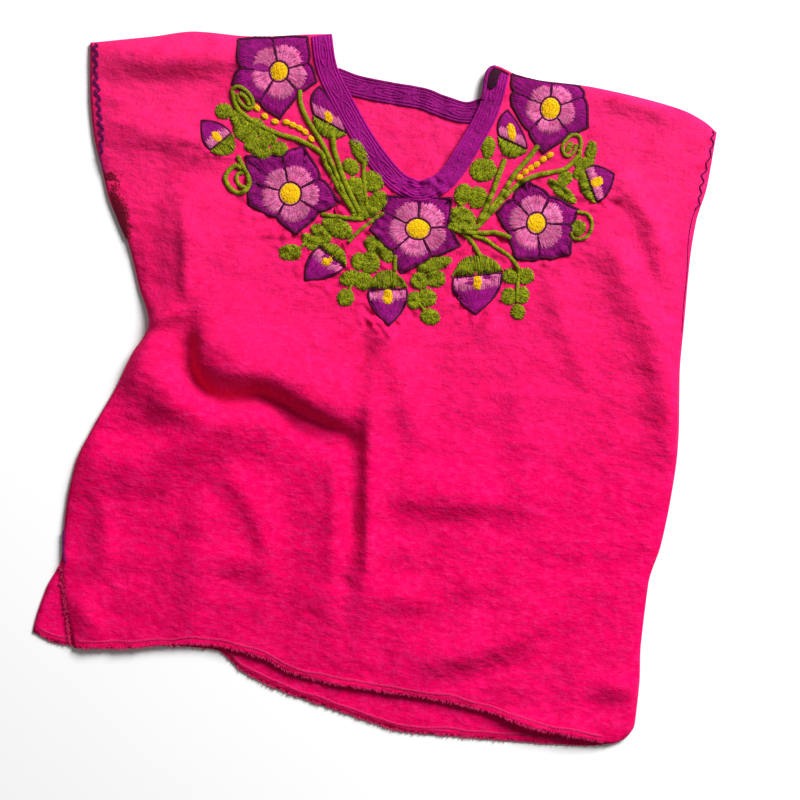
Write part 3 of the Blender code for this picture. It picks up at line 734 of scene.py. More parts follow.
def panel_places(cells_across, cells_up, left, hem_table, hem, top):
    """The plan places (x, y) of a panel's grid, row by row from hem to shoulder."""
    u, v = np.meshgrid(columns(cells_across), np.linspace(0, 1, cells_up + 1))
    hem_left, hem_right = hem_table[0][0], hem_table[-1][0]
    across_top = TOP_LEFT + (TOP_RIGHT - TOP_LEFT) * u
    across_hem = hem_left + (hem_right - hem_left) * u
    straight = shoulder_line(across_top)
    neck_drop = (straight - top(across_top)) * smoothstep((v - NECK_REACH) / (1 - NECK_REACH))
    y = (1 - v) * hem(across_hem) + v * straight - neck_drop
    side_left = left((1 - v) * hem(hem_left) + v * top(TOP_LEFT))
    side_right = right_side((1 - v) * hem(hem_right) + v * top(TOP_RIGHT))
    return side_left + (side_right - side_left) * u, y


def front_height(x, y):
    """The height of the front panel's inner side above the table, in millimetres."""
    def roll(distance):
        return np.sqrt(1 - (1 - np.clip(distance / EDGE_ROLL, 0, 1)) ** 2)

    inside_neck = np.minimum(x - NECK_LEFT, NECK_RIGHT - x) / NECK_CORNER_BLEND
    at_shoulder = roll(shoulder_line(x) - y)
    at_shoulder = at_shoulder + (1 - at_shoulder) * smoothstep(inside_neck)
    rise = roll(x - left_side(y)) * roll(right_side(y) - x) * at_shoulder
    wanted = FRONT_LOFT + sum(fold_height(x, y, *row[1:]) for row in FOLDS)
    loft = 0.5 * (wanted + np.sqrt(wanted ** 2 + FLOOR_SOFTNESS ** 2))
    return FRONT_REST + rise * loft


def waves(x, y, length, seed):
    """A random soft swell of about this wavelength and a height near 1."""
    draw = np.random.default_rng(seed)
    total = np.zeros(np.shape(x))
    for _ in range(12):
        turn = draw.uniform(0, 2 * math.pi)
        span = length * draw.uniform(0.7, 1.4)
        start = draw.uniform(0, 6.3)
        total += np.sin((x * math.cos(turn) + y * math.sin(turn)) * 2 * math.pi / span + start)
    return total / math.sqrt(6)


def swells(x, y, rows):
    """Several random swells together, in millimetres."""
    return sum(height * waves(x, y, length, seed) for height, length, seed in rows)


def puckers(x, y):
    """How the cloth pulls up round the stitched motifs, in millimetres."""
    near = np.zeros(np.shape(x))
    for fx, fy in (row[1:3] for row in FLOWERS):
        near += np.exp(-((np.hypot(x - fx, y - fy) - FLOWER_RIM) / FLOWER_RIM_WIDTH) ** 2)
    for base_x, base_y, tip_x, tip_y in (row[1:5] for row in BUDS):
        away = np.hypot(x - (base_x + tip_x) / 2, y - (base_y + tip_y) / 2)
        near += np.exp(-((away - BUD_RIM) / BUD_RIM_WIDTH) ** 2)
    near = np.minimum(near, 1) * smoothstep((255 - y) / 40)
    return near * swells(x, y, PUCKER_SWELLS) * PUCKER


def cloth_top(x, y):
    """The height of the front's outer side, in millimetres, with its small creases."""
    creases = sum(fold_height(x, y, *row[1:], CREASE_STEP, NARROWEST_CREASE) for row in CREASES)
    swell = swells(x, y, CLOTH_SWELLS) + puckers(x, y)
    inside = smoothstep(np.minimum(x - left_side(y), right_side(y) - x) / EDGE_ROLL)
    wanted = front_height(x, y) + creases - FRONT_REST
    return FRONT_REST + np.maximum(wanted, 0.4) + CAD_CLOTH_WALL + swell * (0.25 + 0.75 * inside)


def back_top_height(x, y):
    """The height of the back's upper side: flat under the front, a little rumpled at its neck."""
    at_neck = np.exp(-((x - 10) / 90) ** 2) * smoothstep((y - 190) / 40)
    return CAD_CLOTH_WALL + at_neck * swells(x, y, BACK_NECK_SWELLS)


class HeightMap:
    """A surface's heights on a square grid, read between its points."""

    def __init__(self, surface):
        xs, ys = (np.arange(low, high, MAP_STEP) for low, high in zip(MAP_LOW, MAP_HIGH))
        self.heights = surface(*np.meshgrid(xs, ys))

    def __call__(self, x, y):
        h = self.heights
        across = np.clip((np.asarray(x, float) - MAP_LOW[0]) / MAP_STEP, 0, h.shape[1] - 1.001)
        up = np.clip((np.asarray(y, float) - MAP_LOW[1]) / MAP_STEP, 0, h.shape[0] - 1.001)
        i, j = across.astype(int), up.astype(int)
        s, t = across - i, up - j
        lower = h[j, i] * (1 - s) + h[j, i + 1] * s
        upper = h[j + 1, i] * (1 - s) + h[j + 1, i + 1] * s
        return lower * (1 - t) + upper * t


def linked(name, data):
    """A new object in the scene."""
    made = bpy.data.objects.new(name, data)
    bpy.context.scene.collection.objects.link(made)
    return made


class Mesh:
    """Points, faces and tones gathered from many small shapes into one piece."""

    def __init__(self):
        self.points, self.quads, self.triangles, self.tones = [], [], [], []
        self.count = 0

    def add(self, points, quads, triangles, tones):
        """Takes in one more shape, with a tone for all of it or for each point."""
        points = np.asarray(points, float).reshape(-1, 3)
        self.points.append(points)
        self.quads.append(np.asarray(quads, int).reshape(-1, 4) + self.count)
        self.triangles.append(np.asarray(triangles, int).reshape(-1, 3) + self.count)
        self.tones.append(np.broadcast_to(np.asarray(tones, float), (len(points),)))
        self.count += len(points)

    def build(self, name, look, replaced=()):
        """The piece in its look's material (the look's slot is not used), riding on the part and standing for
        its CAD nodes.
        """
        points = np.concatenate(self.points) * MM
        quads, triangles = np.concatenate(self.quads), np.concatenate(self.triangles)
        corners = np.concatenate([quads.ravel(), triangles.ravel()])
        sizes = np.concatenate([np.full(len(quads), 4), np.full(len(triangles), 3)])
        mesh = bpy.data.meshes.new(name)
        mesh.vertices.add(len(points))
        mesh.vertices.foreach_set("co", points.astype(np.float32).ravel())
        mesh.loops.add(len(corners))
        mesh.loops.foreach_set("vertex_index", corners.astype(np.int32))
        mesh.polygons.add(len(sizes))
        mesh.polygons.foreach_set("loop_start", (np.cumsum(sizes) - sizes).astype(np.int32))
        mesh.update(calc_edges=True)
        mesh.validate()
        mesh.shade_smooth()
        tone = mesh.attributes.new("tone", "FLOAT", "POINT")
        tone.data.foreach_set("value", np.concatenate(self.tones).astype(np.float32))
        material, slot = look
        mesh.materials.append(material)
        made = linked(name, mesh)
        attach(made, "root")
        if replaced:
            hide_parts(*replaced)
        return made


def add_wall(mesh, upper, lower, tone=0.5):
    """A closed wall between two grids of points (rows, across, 3), upper side facing up."""
    rows, across = upper.shape[:2]
    count = rows * across
    r, c = np.meshgrid(np.arange(rows - 1), np.arange(across - 1), indexing="ij")
    a = (r * across + c).ravel()
    top = np.stack([a, a + 1, a + across + 1, a + across], axis=1)
    rim = list(range(across - 1))
    rim += [k * across + across - 1 for k in range(rows - 1)]
    rim += [(rows - 1) * across + k for k in range(across - 1, 0, -1)]
    rim += [k * across for k in range(rows - 1, 0, -1)]
    rim = np.array(rim)
    after = np.roll(rim, -1)
    sides = np.stack([rim, rim + count, after + count, after], axis=1)
    points = np.concatenate([upper.reshape(-1, 3), lower.reshape(-1, 3)])
    mesh.add(points, np.concatenate([top, top[:, ::-1] + count, sides]), [], tone)


def add_threads(mesh, starts, ends, bed, width, rise, draw, shade=(0.25, 0.95)):
    """Ridged threads that lie on a bed from start to end, each with its own tone."""
    starts, ends = np.asarray(starts, float), np.asarray(ends, float)
    count, samples = len(starts), len(THREAD_SHARES)
    run = ends - starts
    side = unit(np.stack([-run[:, 1], run[:, 0]], axis=1))[:, None]
    line = starts[:, None] + run[:, None] * THREAD_SHARES[None, :, None]
    half = (width / 2 * draw.uniform(0.8, 1.25, count))[:, None, None] * THREAD_WIDTHS[None, :, None]
    height = over(bed, line)
    rise = (rise * draw.uniform(0.75, 1.3, count))[:, None]
    low = height - 0.25 * rise + np.minimum(THREAD_LIFT, 0) * rise
    high = height + THREAD_LIFT * rise
    left, right = lifted(line + side * half, low), lifted(line - side * half, low)
    points = np.stack([left, lifted(line, high), right], axis=2)
    start = np.arange(count) * samples * 3
    end = start + (samples - 1) * 3
    first = start[:, None] + (np.arange(samples - 1) * 3)[None]
    quads = [np.stack([first + a, first + b, first + b + 3, first + a + 3], axis=-1).reshape(-1, 4)
             for a, b in ((0, 1), (1, 2), (2, 0))]
    caps = [np.stack([start, start + 2, start + 1], axis=1), np.stack([end, end + 1, end + 2], axis=1)]
    own = draw.uniform(shade[0], shade[1], count)
    # Each thread's two sides are darker than its crest: painted shade
    tones = own[:, None, None] * THREAD_EDGE_SHADE[None, None] * np.ones((1, samples, 1))
    mesh.add(points, np.concatenate(quads), np.concatenate(caps), tones.ravel())


def add_cord(mesh, line, half_width, half_height, style="plain", closed=False):
    """A cord along points (n, 3), with two plies turning about each other where twist is above 0, painted
    darker in the grooves between the plies and lighter on their crowns.
    """
    sides, twist, pitch, (dark, light) = CORDS[style]
    count = len(line)
    if closed:
        run = np.roll(line, -1, axis=0) - np.roll(line, 1, axis=0)
    else:
        run = np.gradient(line, axis=0)
    run = unit(run)
    side = unit(np.stack([-run[:, 1], run[:, 0], np.zeros(count)], axis=1))
    up = np.cross(run, side)
    angle = np.arange(sides) * 2 * math.pi / sides
    ply = np.cos(2 * (angle[None] - travelled_along(line)[:, None] * math.pi / pitch))
    taper = np.ones(count)
    if not closed:
        taper[0] = taper[-1] = CORD_END
    ring = (side[:, None] * (half_width * np.cos(angle))[None, :, None]
            + up[:, None] * (half_height * np.sin(angle))[None, :, None])
    points = line[:, None] + ring * ((1 + twist * ply) * taper[:, None])[..., None]
    rows = np.arange(count if closed else count - 1)[:, None] * sides
    a, b = rows + np.arange(sides)[None], rows + (np.arange(sides) + 1)[None] % sides
    total = count * sides
    quads = np.stack([a, b, (b + sides) % total, (a + sides) % total], axis=-1)
    fans = []
    if not closed:
        last = (count - 1) * sides
        fans = [(0, j + 1, j) for j in range(1, sides - 1)]
        fans += [(last, last + j, last + j + 1) for j in range(1, sides - 1)]
    # Painted shade in the grooves between the plies and painted highlight on their crowns, where there is
    # twist
    tones = dark + (light - dark) * (0.5 + 0.5 * ply * (1 if twist else 0))
    mesh.add(points, quads, fans, tones.ravel())


def cord_along(route, step, surface, lift, half_width, half_height, style):
    """A new mesh with one cord along a route, at a height above a surface."""
    mesh = Mesh()
    add_cord(mesh, on_surface(route_through(route, step), surface, lift), half_width, half_height, style)
    return mesh


def add_dome(mesh, centre, outline, bed, floor, tone=0.35):
    """A closed padded body over an outline that is star-shaped about its centre."""
    centre, outline = np.asarray(centre, float), np.asarray(outline, float)
    count = len(outline)
    places = np.vstack([centre] + [centre + (outline - centre) * share for share in DOME_RINGS] + [outline])
    heights = over(bed, places)
    heights[-count:] = over(floor, outline) - SUNK
    points = np.vstack([lifted(places, heights), np.append(centre, floor(*centre) - SUNK)])
    i = np.arange(count)
    j = (i + 1) % count
    fan = np.stack([np.zeros(count, int), 1 + i, 1 + j], axis=1)
    rings = [1 + k * count for k in range(len(DOME_RINGS))]
    quads = [np.stack([k + i, k + count + i, k + count + j, k + j], axis=1) for k in rings]
    edge = 1 + len(DOME_RINGS) * count
    bottom = np.stack([np.full(count, len(points) - 1), edge + j, edge + i], axis=1)
    mesh.add(points, np.concatenate(quads), np.concatenate([fan, bottom]), tone)


def linear(colour):
    """A dye's linear colour from its sRGB look of 0 to 255 in the bright light."""
    shares = [c / 255 for c in colour]
    bright = [s / 12.92 if s <= 0.04045 else ((s + 0.055) / 1.055) ** 2.4 for s in shares]
    return [DYE_SHARE * value for value in bright] + [1.0]


class Nodes:
    """Short calls that add shader nodes to a material."""

    def __init__(self, name):
        self.material = bpy.data.materials.new(name)
        self.material.use_nodes = True
        self.tree = self.material.node_tree
        self.shader = self.tree.nodes["Principled BSDF"]
        self.place = self.add("ShaderNodeTexCoord").outputs["Object"]

    def feed(self, socket, value):
        """Links what varies and sets what doesn't."""
        if isinstance(value, bpy.types.NodeSocket):
            self.tree.links.new(value, socket)
        else:
            socket.default_value = value

    def add(self, kind, settings=None, **inputs):
        """A new node with its settings and its inputs."""
        made = self.tree.nodes.new(kind)
        for key, value in (settings or {}).items():
            setattr(made, key, value)
        for key, value in inputs.items():
            self.feed(made.inputs[key.replace("_", " ")], value)
        return made

    def noise(self, scale, detail, roughness, stretch=(1, 1, 1)):
        """Noise in the part's frame, with scale in features a metre."""
        mapped = self.add("ShaderNodeMapping", Vector=self.place, Scale=stretch).outputs["Vector"]
        return self.add("ShaderNodeTexNoise", Vector=mapped, Scale=scale, Detail=detail,
                        Roughness=roughness).outputs["Fac"]

    def ramp(self, value, low, high, low_at=0.0, high_at=1.0):
        """A value stretched from one range to another."""
        return self.add("ShaderNodeMapRange", Value=value, From_Min=low_at, From_Max=high_at, To_Min=low,
                        To_Max=high).outputs["Result"]

    def mix(self, share, low, high):
        """A mix of two colours."""
        made = self.add("ShaderNodeMix", {"data_type": "RGBA"})
        for socket, value in zip((made.inputs[0], made.inputs[6], made.inputs[7]), (share, low, high)):
            self.feed(socket, value)
        return made.outputs[2]

    def bump(self, height, distance, strength, before=None):
        """A bump of this many metres, on top of the one before."""
        made = self.add("ShaderNodeBump", Height=height, Distance=distance, Strength=strength)
        if before is not None:
            self.feed(made.inputs["Normal"], before)
        return made.outputs["Normal"]

    def finish(self, **values):
        """Joins the shader's inputs: links for what varies, plain numbers for what doesn't."""
        for key, value in values.items():
            self.feed(self.shader.inputs[key.replace("_", " ")], value)
        return self.material


def pink_cotton():
    """Crinkled plain-weave cotton with a soft fuzz of short fibres that catch the light: a small sheen in the
    shader, and lighter streaks of the fibres painted in, a painted sheen.
    """
    n = Nodes("pink_cotton_cloth")
    broad = n.noise(*COTTON_BROAD)
    split = n.add("ShaderNodeSeparateXYZ", Vector=n.place)
    # The pink turns paler towards the shoulders, between the two given heights
    paler_share = n.ramp(split.outputs["Y"], 0.0, 1.0, *PALER_FROM)
    noises = {name: n.noise(*row) for name, row in COTTON_NOISES.items()}
    colour = n.mix(n.ramp(broad, 0, 1, 0.35, 0.65), linear(COTTON_DARK), linear(COTTON_LIGHT))
    colour = n.mix(paler_share, colour, linear(COTTON_PALER))
    for name, most, start, full, tone in COTTON_TONES:
        colour = n.mix(n.ramp(noises[name], 0.0, most, start, full), colour, linear(tone))
    normal = None
    for name, height, strength in COTTON_BUMPS:
        normal = n.bump(noises[name], height, strength, normal)
    roughness = n.ramp(noises["crinkle"], 0.82, 0.98)
    return n.finish(Base_Color=colour, Roughness=roughness, Normal=normal, Specular_IOR_Level=0.03,
                    Sheen_Weight=0.03, Sheen_Roughness=0.5, Sheen_Tint=(1.0, 0.4, 0.62, 1.0))


def thread(name):
    """Twisted cotton thread: its tone changes from thread to thread and in fuzzy specks."""
    n = Nodes(name + "_yarn")
    dark, light, fuzz, slot = THREADS[name]
    tone = n.add("ShaderNodeAttribute", {"attribute_name": "tone"}).outputs["Fac"]
    speck, fibre, patch = (n.noise(*row) for row in (THREAD_SPECK, THREAD_FIBRE, THREAD_PATCH))
    share = n.add("ShaderNodeMath", {"operation": "MULTIPLY_ADD"})
    for socket, value in zip(share.inputs, (n.ramp(speck, -fuzz, fuzz, 0.36, 0.64), 1.0, tone)):
        n.feed(socket, value)
    colour = n.mix(share.outputs[0], linear(dark), linear(light))
    colour = n.mix(n.ramp(patch, 0.0, 0.3, 0.4, 0.75), colour, linear(dark))
    normal = n.bump(speck, 0.0009, 0.8)
    normal = n.bump(fibre, 0.0003, 0.6, normal)
    return n.finish(Base_Color=colour, Roughness=n.ramp(fibre, 0.55, 0.85), Normal=normal,
                    Specular_IOR_Level=0.12, Sheen_Weight=0.04, Sheen_Roughness=0.4)


def front_cloth(look):
    """The front panel: a thin shell with every fold and crease."""
    x, y = panel_places(FRONT_CELLS_ACROSS, FRONT_CELLS_UP, left_side, FRONT_HEM, front_hem, front_top)
    z = cloth_top(x, y)
    slope_x = (cloth_top(x + SLOPE_PROBE, y) - cloth_top(x - SLOPE_PROBE, y)) / (2 * SLOPE_PROBE)
    slope_y = (cloth_top(x, y + SLOPE_PROBE) - cloth_top(x, y - SLOPE_PROBE)) / (2 * SLOPE_PROBE)
    outward = unit(np.stack([-slope_x, -slope_y, np.ones_like(x)], axis=-1))
    upper = np.stack([x, y, z], axis=-1)
    mesh = Mesh()
    add_wall(mesh, upper, upper - outward * CLOTH_WALL)
    made = mesh.build("front_cloth", look, ["front_panel"])


def back_cloth(look):
    """The back panel: a thin shell flat on the table."""
    x, y = panel_places(BACK_CELLS_ACROSS, BACK_CELLS_UP, back_left_side, BACK_HEM, back_hem, back_top)
    z = back_top_height(x, y)
    mesh = Mesh()
    add_wall(mesh, np.stack([x, y, z], axis=-1), np.stack([x, y, z - CLOTH_WALL], axis=-1))
    made = mesh.build("back_cloth", look, ["back_panel"])


def petal_reach(tips, notches):
    """A flower's reach and the share of each direction from petal axis to notch, by angle."""
    marks = sorted([(a, r, 0.0) for a, r in tips] + [(a, r, 1.0) for a, r in notches])
    marks = [(marks[-1][0] - 360, *marks[-1][1:])] + marks + [(marks[0][0] + 360, *marks[0][1:])]
    angles = np.radians([m[0] for m in marks])
    reaches = np.array([m[1] for m in marks], float)
    kinds = np.array([m[2] for m in marks])

    def reach(angle):
        angle = np.mod(angle, 2 * math.pi)
        i = np.clip(np.searchsorted(angles, angle, side="right") - 1, 0, len(angles) - 2)
        sector = angles[i + 1] - angles[i]
        t = (angle - angles[i]) / sector
        from_tip = np.where(kinds[i] == 0, t, 1 - t)
        start, end = reaches[i], reaches[i + 1]
        crossing = start * np.sin(t * sector) + end * np.sin((1 - t) * sector)
        straight = start * end * np.sin(sector) / crossing
        return straight * (1 + 6.75 * PETAL_BULGE * from_tip ** 2 * (1 - from_tip)), from_tip

    return reach


def flower(row, surface, looks, draw):
    """A five-petal flower in long-and-short stitch, with a padded yellow middle."""
    name, fx, fy, half_width, half_height, tips, notches, lilac_reach = row
    reach = petal_reach(tips, notches)
    middle = (half_width + half_height) / 2

    def spot(angle, radius):
        x, y = fx + radius * np.cos(angle), fy + radius * np.sin(angle)
        return np.stack([x, np.minimum(y, shoulder_line(x) - SHOULDER_MARGIN)], axis=-1)

    def bed(x, y):
        radius, angle = np.hypot(x - fx, y - fy), np.arctan2(y - fy, x - fx)
        edge, from_axis = reach(angle)
        puff = (1 - np.clip(radius / edge, 0, 1) ** 5) * (1 - 0.45 * from_axis ** 3)
        return surface(x, y) + 0.4 + 1.5 * puff

    def oval(angle, grow):
        x = fx + (half_width + grow) * np.cos(angle)
        return np.stack([x, fy + (half_height + grow) * np.sin(angle)], axis=-1)

    def middle_bed(x, y):
        share = np.clip(((x - fx) / half_width) ** 2 + ((y - fy) / half_height) ** 2, 0, 1)
        return surface(x, y) + 1.4 + 1.9 * np.sqrt(1 - share)

    meshes = {colour: Mesh() for colour in ("purple", "lilac", "plum", "yellow")}
    purple, plum, yellow = meshes["purple"], meshes["plum"], meshes["yellow"]
    corners = np.radians([mark[0] for mark in tips + notches])
    angles = np.sort(np.concatenate([around(FLOWER_SIDES), corners]))
    edge = reach(angles)[0]
    add_dome(purple, (fx, fy), spot(angles, edge), bed, surface)

    for colour, count, outer, outward, inner, inward, jag, width, shade, rise, widest in STITCH_RINGS:
        turn = (np.arange(count) + draw.uniform(-0.35, 0.35, count)) * 2 * math.pi / count
        edge_here, off_axis = reach(turn)
        lilac_edge = np.minimum(lilac_reach + 1 - 5 * off_axis ** 3, edge_here - 4)
        lines = {"edge": edge_here, "purple half": (edge_here + lilac_edge) / 2, "lilac edge": lilac_edge,
                 "lilac half": (lilac_edge + middle) / 2, "middle": middle + 0 * edge_here}
        start = np.minimum(lines[outer] + outward + draw.uniform(-jag, jag, count), edge_here - RIM_MARGIN)
        end = lines[inner] + inward + draw.uniform(-jag, jag, count)
        keep = (start - end > SHORTEST_STITCH) & (off_axis < widest)
        lean = draw.uniform(-0.03, 0.03, count)
        start, end = spot(turn, start)[keep], spot(turn + lean, end)[keep]
        add_threads(meshes[colour], start, end, bed, width, rise, draw, shade)

    ring = spot(angles, edge - 0.3)
    add_cord(plum, on_surface(ring, surface, 0.9), 1.55, 0.85, "outline", closed=True)
    for degrees, notch in notches:
        angle = math.radians(degrees)
        radii = np.arange(middle - 1, notch - 1, 0.9)
        start = spot(angle + draw.uniform(-1.5, 0.8, len(radii)) / radii, radii)
        end = spot(angle + draw.uniform(-0.8, 1.5, len(radii)) / radii, radii + 2.6)
        add_threads(plum, start, end, raised(bed, 0.35), 1.5, 0.7, draw)

    ring = around(MIDDLE_SIDES)
    add_cord(plum, on_surface(oval(ring, 0.7), bed, 0.5), 0.9, 0.7, closed=True)
    add_dome(yellow, (fx, fy), oval(ring, 0.2), middle_bed, surface, 0.5)
    add_seeds(yellow, fx, fy, 2 * half_width, 2 * half_height, 0, middle_bed, draw, 4.0, (0.6, 1.0), 0.4)

    purple.build("petals_purple_" + name, looks["purple_thread"], ["flower_" + name])
    meshes["lilac"].build("petals_lilac_" + name, looks["lilac_thread"])
    plum.build("petals_outline_" + name, looks["plum_thread"])
    yellow.build("petals_middle_" + name, looks["yellow_thread"], ["flower_middle_" + name])


def add_satin(mesh, x, y, length, width, turn, bed, draw, thread_width=1.15, rise=0.5, ragged=0.4):
    """Satin stitches straight across an oval."""
    along, across = axes_at(turn)
    count = max(4, int(length / (thread_width * 0.62)))
    place = (np.arange(count) + 0.5) / count * 2 - 1 + draw.uniform(-0.3, 0.3, count) / count
    half = width / 2 * np.sqrt(np.clip(1 - place ** 2, 0.02, 1))
    middle = np.array([x, y]) + np.outer(place * length / 2, along)
    lean = np.outer(draw.uniform(-ragged, ragged, count), along)
    for sign in (1, -1):
        reach = sign * (half + draw.uniform(-ragged, ragged, count))
        root = middle + np.outer(draw.uniform(-0.2, 0.08, count) * reach, across)
        add_threads(mesh, root - lean, middle + np.outer(reach, across) + lean, bed, thread_width, rise, draw)


def add_seeds(mesh, x, y, length, width, turn, bed, draw, reach=5.0, shade=(0.1, 1.0), rise=0.6):
    """Short, close stitches of every tone over an oval, mostly across it."""
    along, across = axes_at(turn)
    count = int(length * width * SEEDS_PER_AREA)
    radius, angle = np.sqrt(draw.uniform(0, 1, count)), draw.uniform(0, 2 * math.pi, count)
    u, v = radius * np.cos(angle), radius * np.sin(angle)
    middle = np.array([x, y]) + np.outer(u * length / 2, along) + np.outer(v * width / 2, across)
    lean = draw.normal(0, 0.3, count) + 0.6 * u * np.sign(v)
    half = (reach / 2 * draw.uniform(0.5, 1.0, count))[:, None]
    run = (np.outer(np.cos(lean), across) + np.outer(np.sin(lean), along)) * half
    add_threads(mesh, middle - run, middle + run, bed, SEED_WIDTH, rise, draw, shade)


def add_lobe(mesh, x, y, length, width, turn, surface, draw, height=1.7):
    """One padded oval of satin stitch."""
    along, across = axes_at(turn)

    def bed(px, py):
        dx, dy = px - x, py - y
        share = ((dx * along[0] + dy * along[1]) * 2 / length) ** 2
        share = share + ((dy * across[1] + dx * across[0]) * 2 / width) ** 2
        return surface(px, py) + 0.3 + height * np.sqrt(np.clip(1 - share, 0, 1))

    angles = around(LOBE_SIDES)
    u, v = np.cos(angles) * length / 2, np.sin(angles) * width / 2
    outline = np.stack([x + u * along[0] + v * across[0], y + u * along[1] + v * across[1]], axis=-1)
    add_dome(mesh, (x, y), outline, bed, surface, 0.2)
    if length * width < SMALLEST_SEEDED:
        add_satin(mesh, x, y, length, width, turn, bed, draw)
        return
    add_satin(mesh, x, y, length, width, turn, raised(bed, -0.15), draw, 1.2, 0.5, 0.9)
    add_seeds(mesh, x, y, length * 0.96, width * 0.96, turn, bed, draw)


def leaves(surface, looks, draw):
    """Every spray of leaf lobes, one piece a spray."""
    for name, rows in LEAVES:
        mesh = Mesh()
        for x, y, length, width, turn in rows:
            add_lobe(mesh, x, y, length, width, turn, surface, draw, 1.2 + width / 22)
        mesh.build("leaf_lobes_" + name, looks["green_thread"], ["leaves_" + name])


def stems(surface, looks):
    """Stems and curls as twisted cords."""
    for name, half_width, route in STEMS:
        lift = STEM_REST + half_width * STEM_REST_SHARE
        mesh = cord_along(route, STEM_STEP, surface, lift, half_width, half_width * STEM_FLATNESS, "stem")
        replaced = ["stem_" + name] if name in CAD_STEMS else ()
        mesh.build("cord_stem_" + name, looks["green_thread"], replaced)


def bud(row, surface, looks, draw):
    """A closed bud: purple tip, lilac and yellow at its base, and a green cup behind it."""
    name, base_x, base_y, tip_x, tip_y, base_turn, width, cup, dab_length, dab_width = row
    base, tip = np.array([base_x, base_y], float), np.array([tip_x, tip_y], float)
    length = np.linalg.norm(tip - base)
    forward = (tip - base) / length
    sideways = axes_at(base_turn)[0]
    skew = forward[0] * sideways[1] - forward[1] * sideways[0]
    if skew < 0:
        sideways, skew = -sideways, -skew
    outward = np.array([sideways[1], -sideways[0]])

    def half(u):
        u = np.clip(u, 0, 1)
        narrowing = (1 - u ** BUD_TAPER[0]) ** BUD_TAPER[1]
        return width / 2 * narrowing * (0.96 + 0.04 * smoothstep(u / 0.2))

    def place(u, v):
        u, v = np.broadcast_arrays(np.asarray(u, float), np.asarray(v, float))
        return base + np.multiply.outer(u * length, forward) + np.multiply.outer(v * half(u), sideways)

    def bed(x, y):
        dx, dy = x - base[0], y - base[1]
        u = (dx * sideways[1] - dy * sideways[0]) / (skew * length)
        v = (forward[0] * dy - forward[1] * dx) / skew / np.maximum(half(u), 0.5)
        inside = np.clip(1 - v ** 2, 0, 1) ** 0.5 * smoothstep((1 - u) / 0.35)
        return surface(x, y) + 0.3 + BUD_PADDING * inside

    def lilac_edge(v):
        return 0.38 - 0.06 * np.abs(v)

    def level(share):
        return lambda v: share + 0 * v

    purple, lilac, plum, yellow, green = Mesh(), Mesh(), Mesh(), Mesh(), Mesh()
    sides = np.linspace(0, 1, 30)
    outline = np.vstack([place(sides, 1.0), place(sides[-2::-1], -1.0)])
    add_dome(purple, base + forward * length * 0.4, outline[::-1], bed, surface)

    def rows(mesh, count, low, high, jag, width_here=1.1, rise=0.5, reach=0.97):
        v = (np.arange(count) + draw.uniform(0.2, 0.8, count)) / count * 2 * reach - reach
        start, end = low(v) + draw.uniform(-jag, jag, count), high(v) + draw.uniform(-jag, jag, count)
        start, end = np.clip(start, 0, 0.98), np.clip(end, 0, 0.985)
        keep = end - start > 0.06
        add_threads(mesh, place(start, v)[keep], place(end, v)[keep], bed, width_here, rise, draw)

    count = int(width / BUD_PITCH)
    rows(purple, count, lambda v: lilac_edge(v) - 0.06, level(0.8), 0.05)
    rows(purple, int(count * 0.7), level(0.66), level(0.98), 0.03)
    rows(lilac, int(count * 1.4), level(0.02), lilac_edge, 0.09, 0.95, 0.8)
    dab = base + forward * (dab_length / 2 + 0.5)
    turn = math.degrees(math.atan2(forward[1], forward[0]))
    add_lobe(yellow, *dab, dab_width, dab_length, turn - 90, raised(bed, -0.2), draw, 1.0)
    add_cord(plum, on_surface(outline, surface, 0.8), 1.2, 0.8, "outline")
    seam = place(0.02, np.linspace(-1, 1, 30))
    add_cord(plum, on_surface(seam, bed, 0.5), 0.8, 0.6)

    v = np.linspace(-1.02, 1.02, int(width * 1.2 / CUP_PITCH))
    inner = 0.03 - 0.05 * v ** 2
    outer = -cup / length * (1 - np.abs(v / 1.03) ** 2.4) ** 0.8

    def cup_place(u, v):
        return base + np.multiply.outer(u * length, outward) + np.multiply.outer(v * width / 2, sideways)

    def cup_bed(x, y):
        across = ((x - base[0]) * sideways[0] + (y - base[1]) * sideways[1]) / (width / 2)
        return surface(x, y) + CUP_EDGE + CUP_CROWN * np.sqrt(np.clip(1 - (across / 1.2) ** 2, 0, 1))

    rim, back = cup_place(inner, v), cup_place(np.minimum(outer, inner - 0.02), v)
    grid = rim[None] + (back - rim)[None] * CUP_SHARES[:, None, None]
    low = over(surface, grid)
    high = low + (over(cup_bed, grid) - low) * CUP_PUFF[:, None] - 0.2
    add_wall(green, lifted(grid, high), lifted(grid, low - 0.3), 0.3)
    for _ in range(2):
        jitter = draw.uniform(-0.6, 0.6, (2, len(v), 2))
        root = rim + (back - rim) * draw.uniform(0.0, 0.45, (len(v), 1))
        end = rim + (back - rim) * draw.uniform(0.6, 1.05, (len(v), 1))
        root, end = root + jitter[0], end + jitter[1]
        add_threads(green, root, end, raised(cup_bed, -0.4), 1.15, 0.7, draw, (0.1, 1.0))

    purple.build("bud_purple_" + name, looks["purple_thread"], ["bud_" + name])
    lilac.build("bud_lilac_" + name, looks["lilac_thread"])
    yellow.build("bud_yellow_" + name, looks["yellow_thread"])
    plum.build("bud_outline_" + name, looks["plum_thread"])
    green.build("bud_cup_" + name, looks["green_thread"])


def knots(surface, looks, draw):
    """The two rows of yellow knots."""
    for name, places in KNOTS:
        mesh = Mesh()
        turns = np.degrees(np.arctan2(*np.gradient(np.array(places, float), axis=0).T[::-1]))
        for (x, y), turn in zip(places, turns):
            add_lobe(mesh, x, y, *KNOT_SIZE, float(turn), surface, draw, 1.9)
        mesh.build("knots_" + name, looks["yellow_thread"])


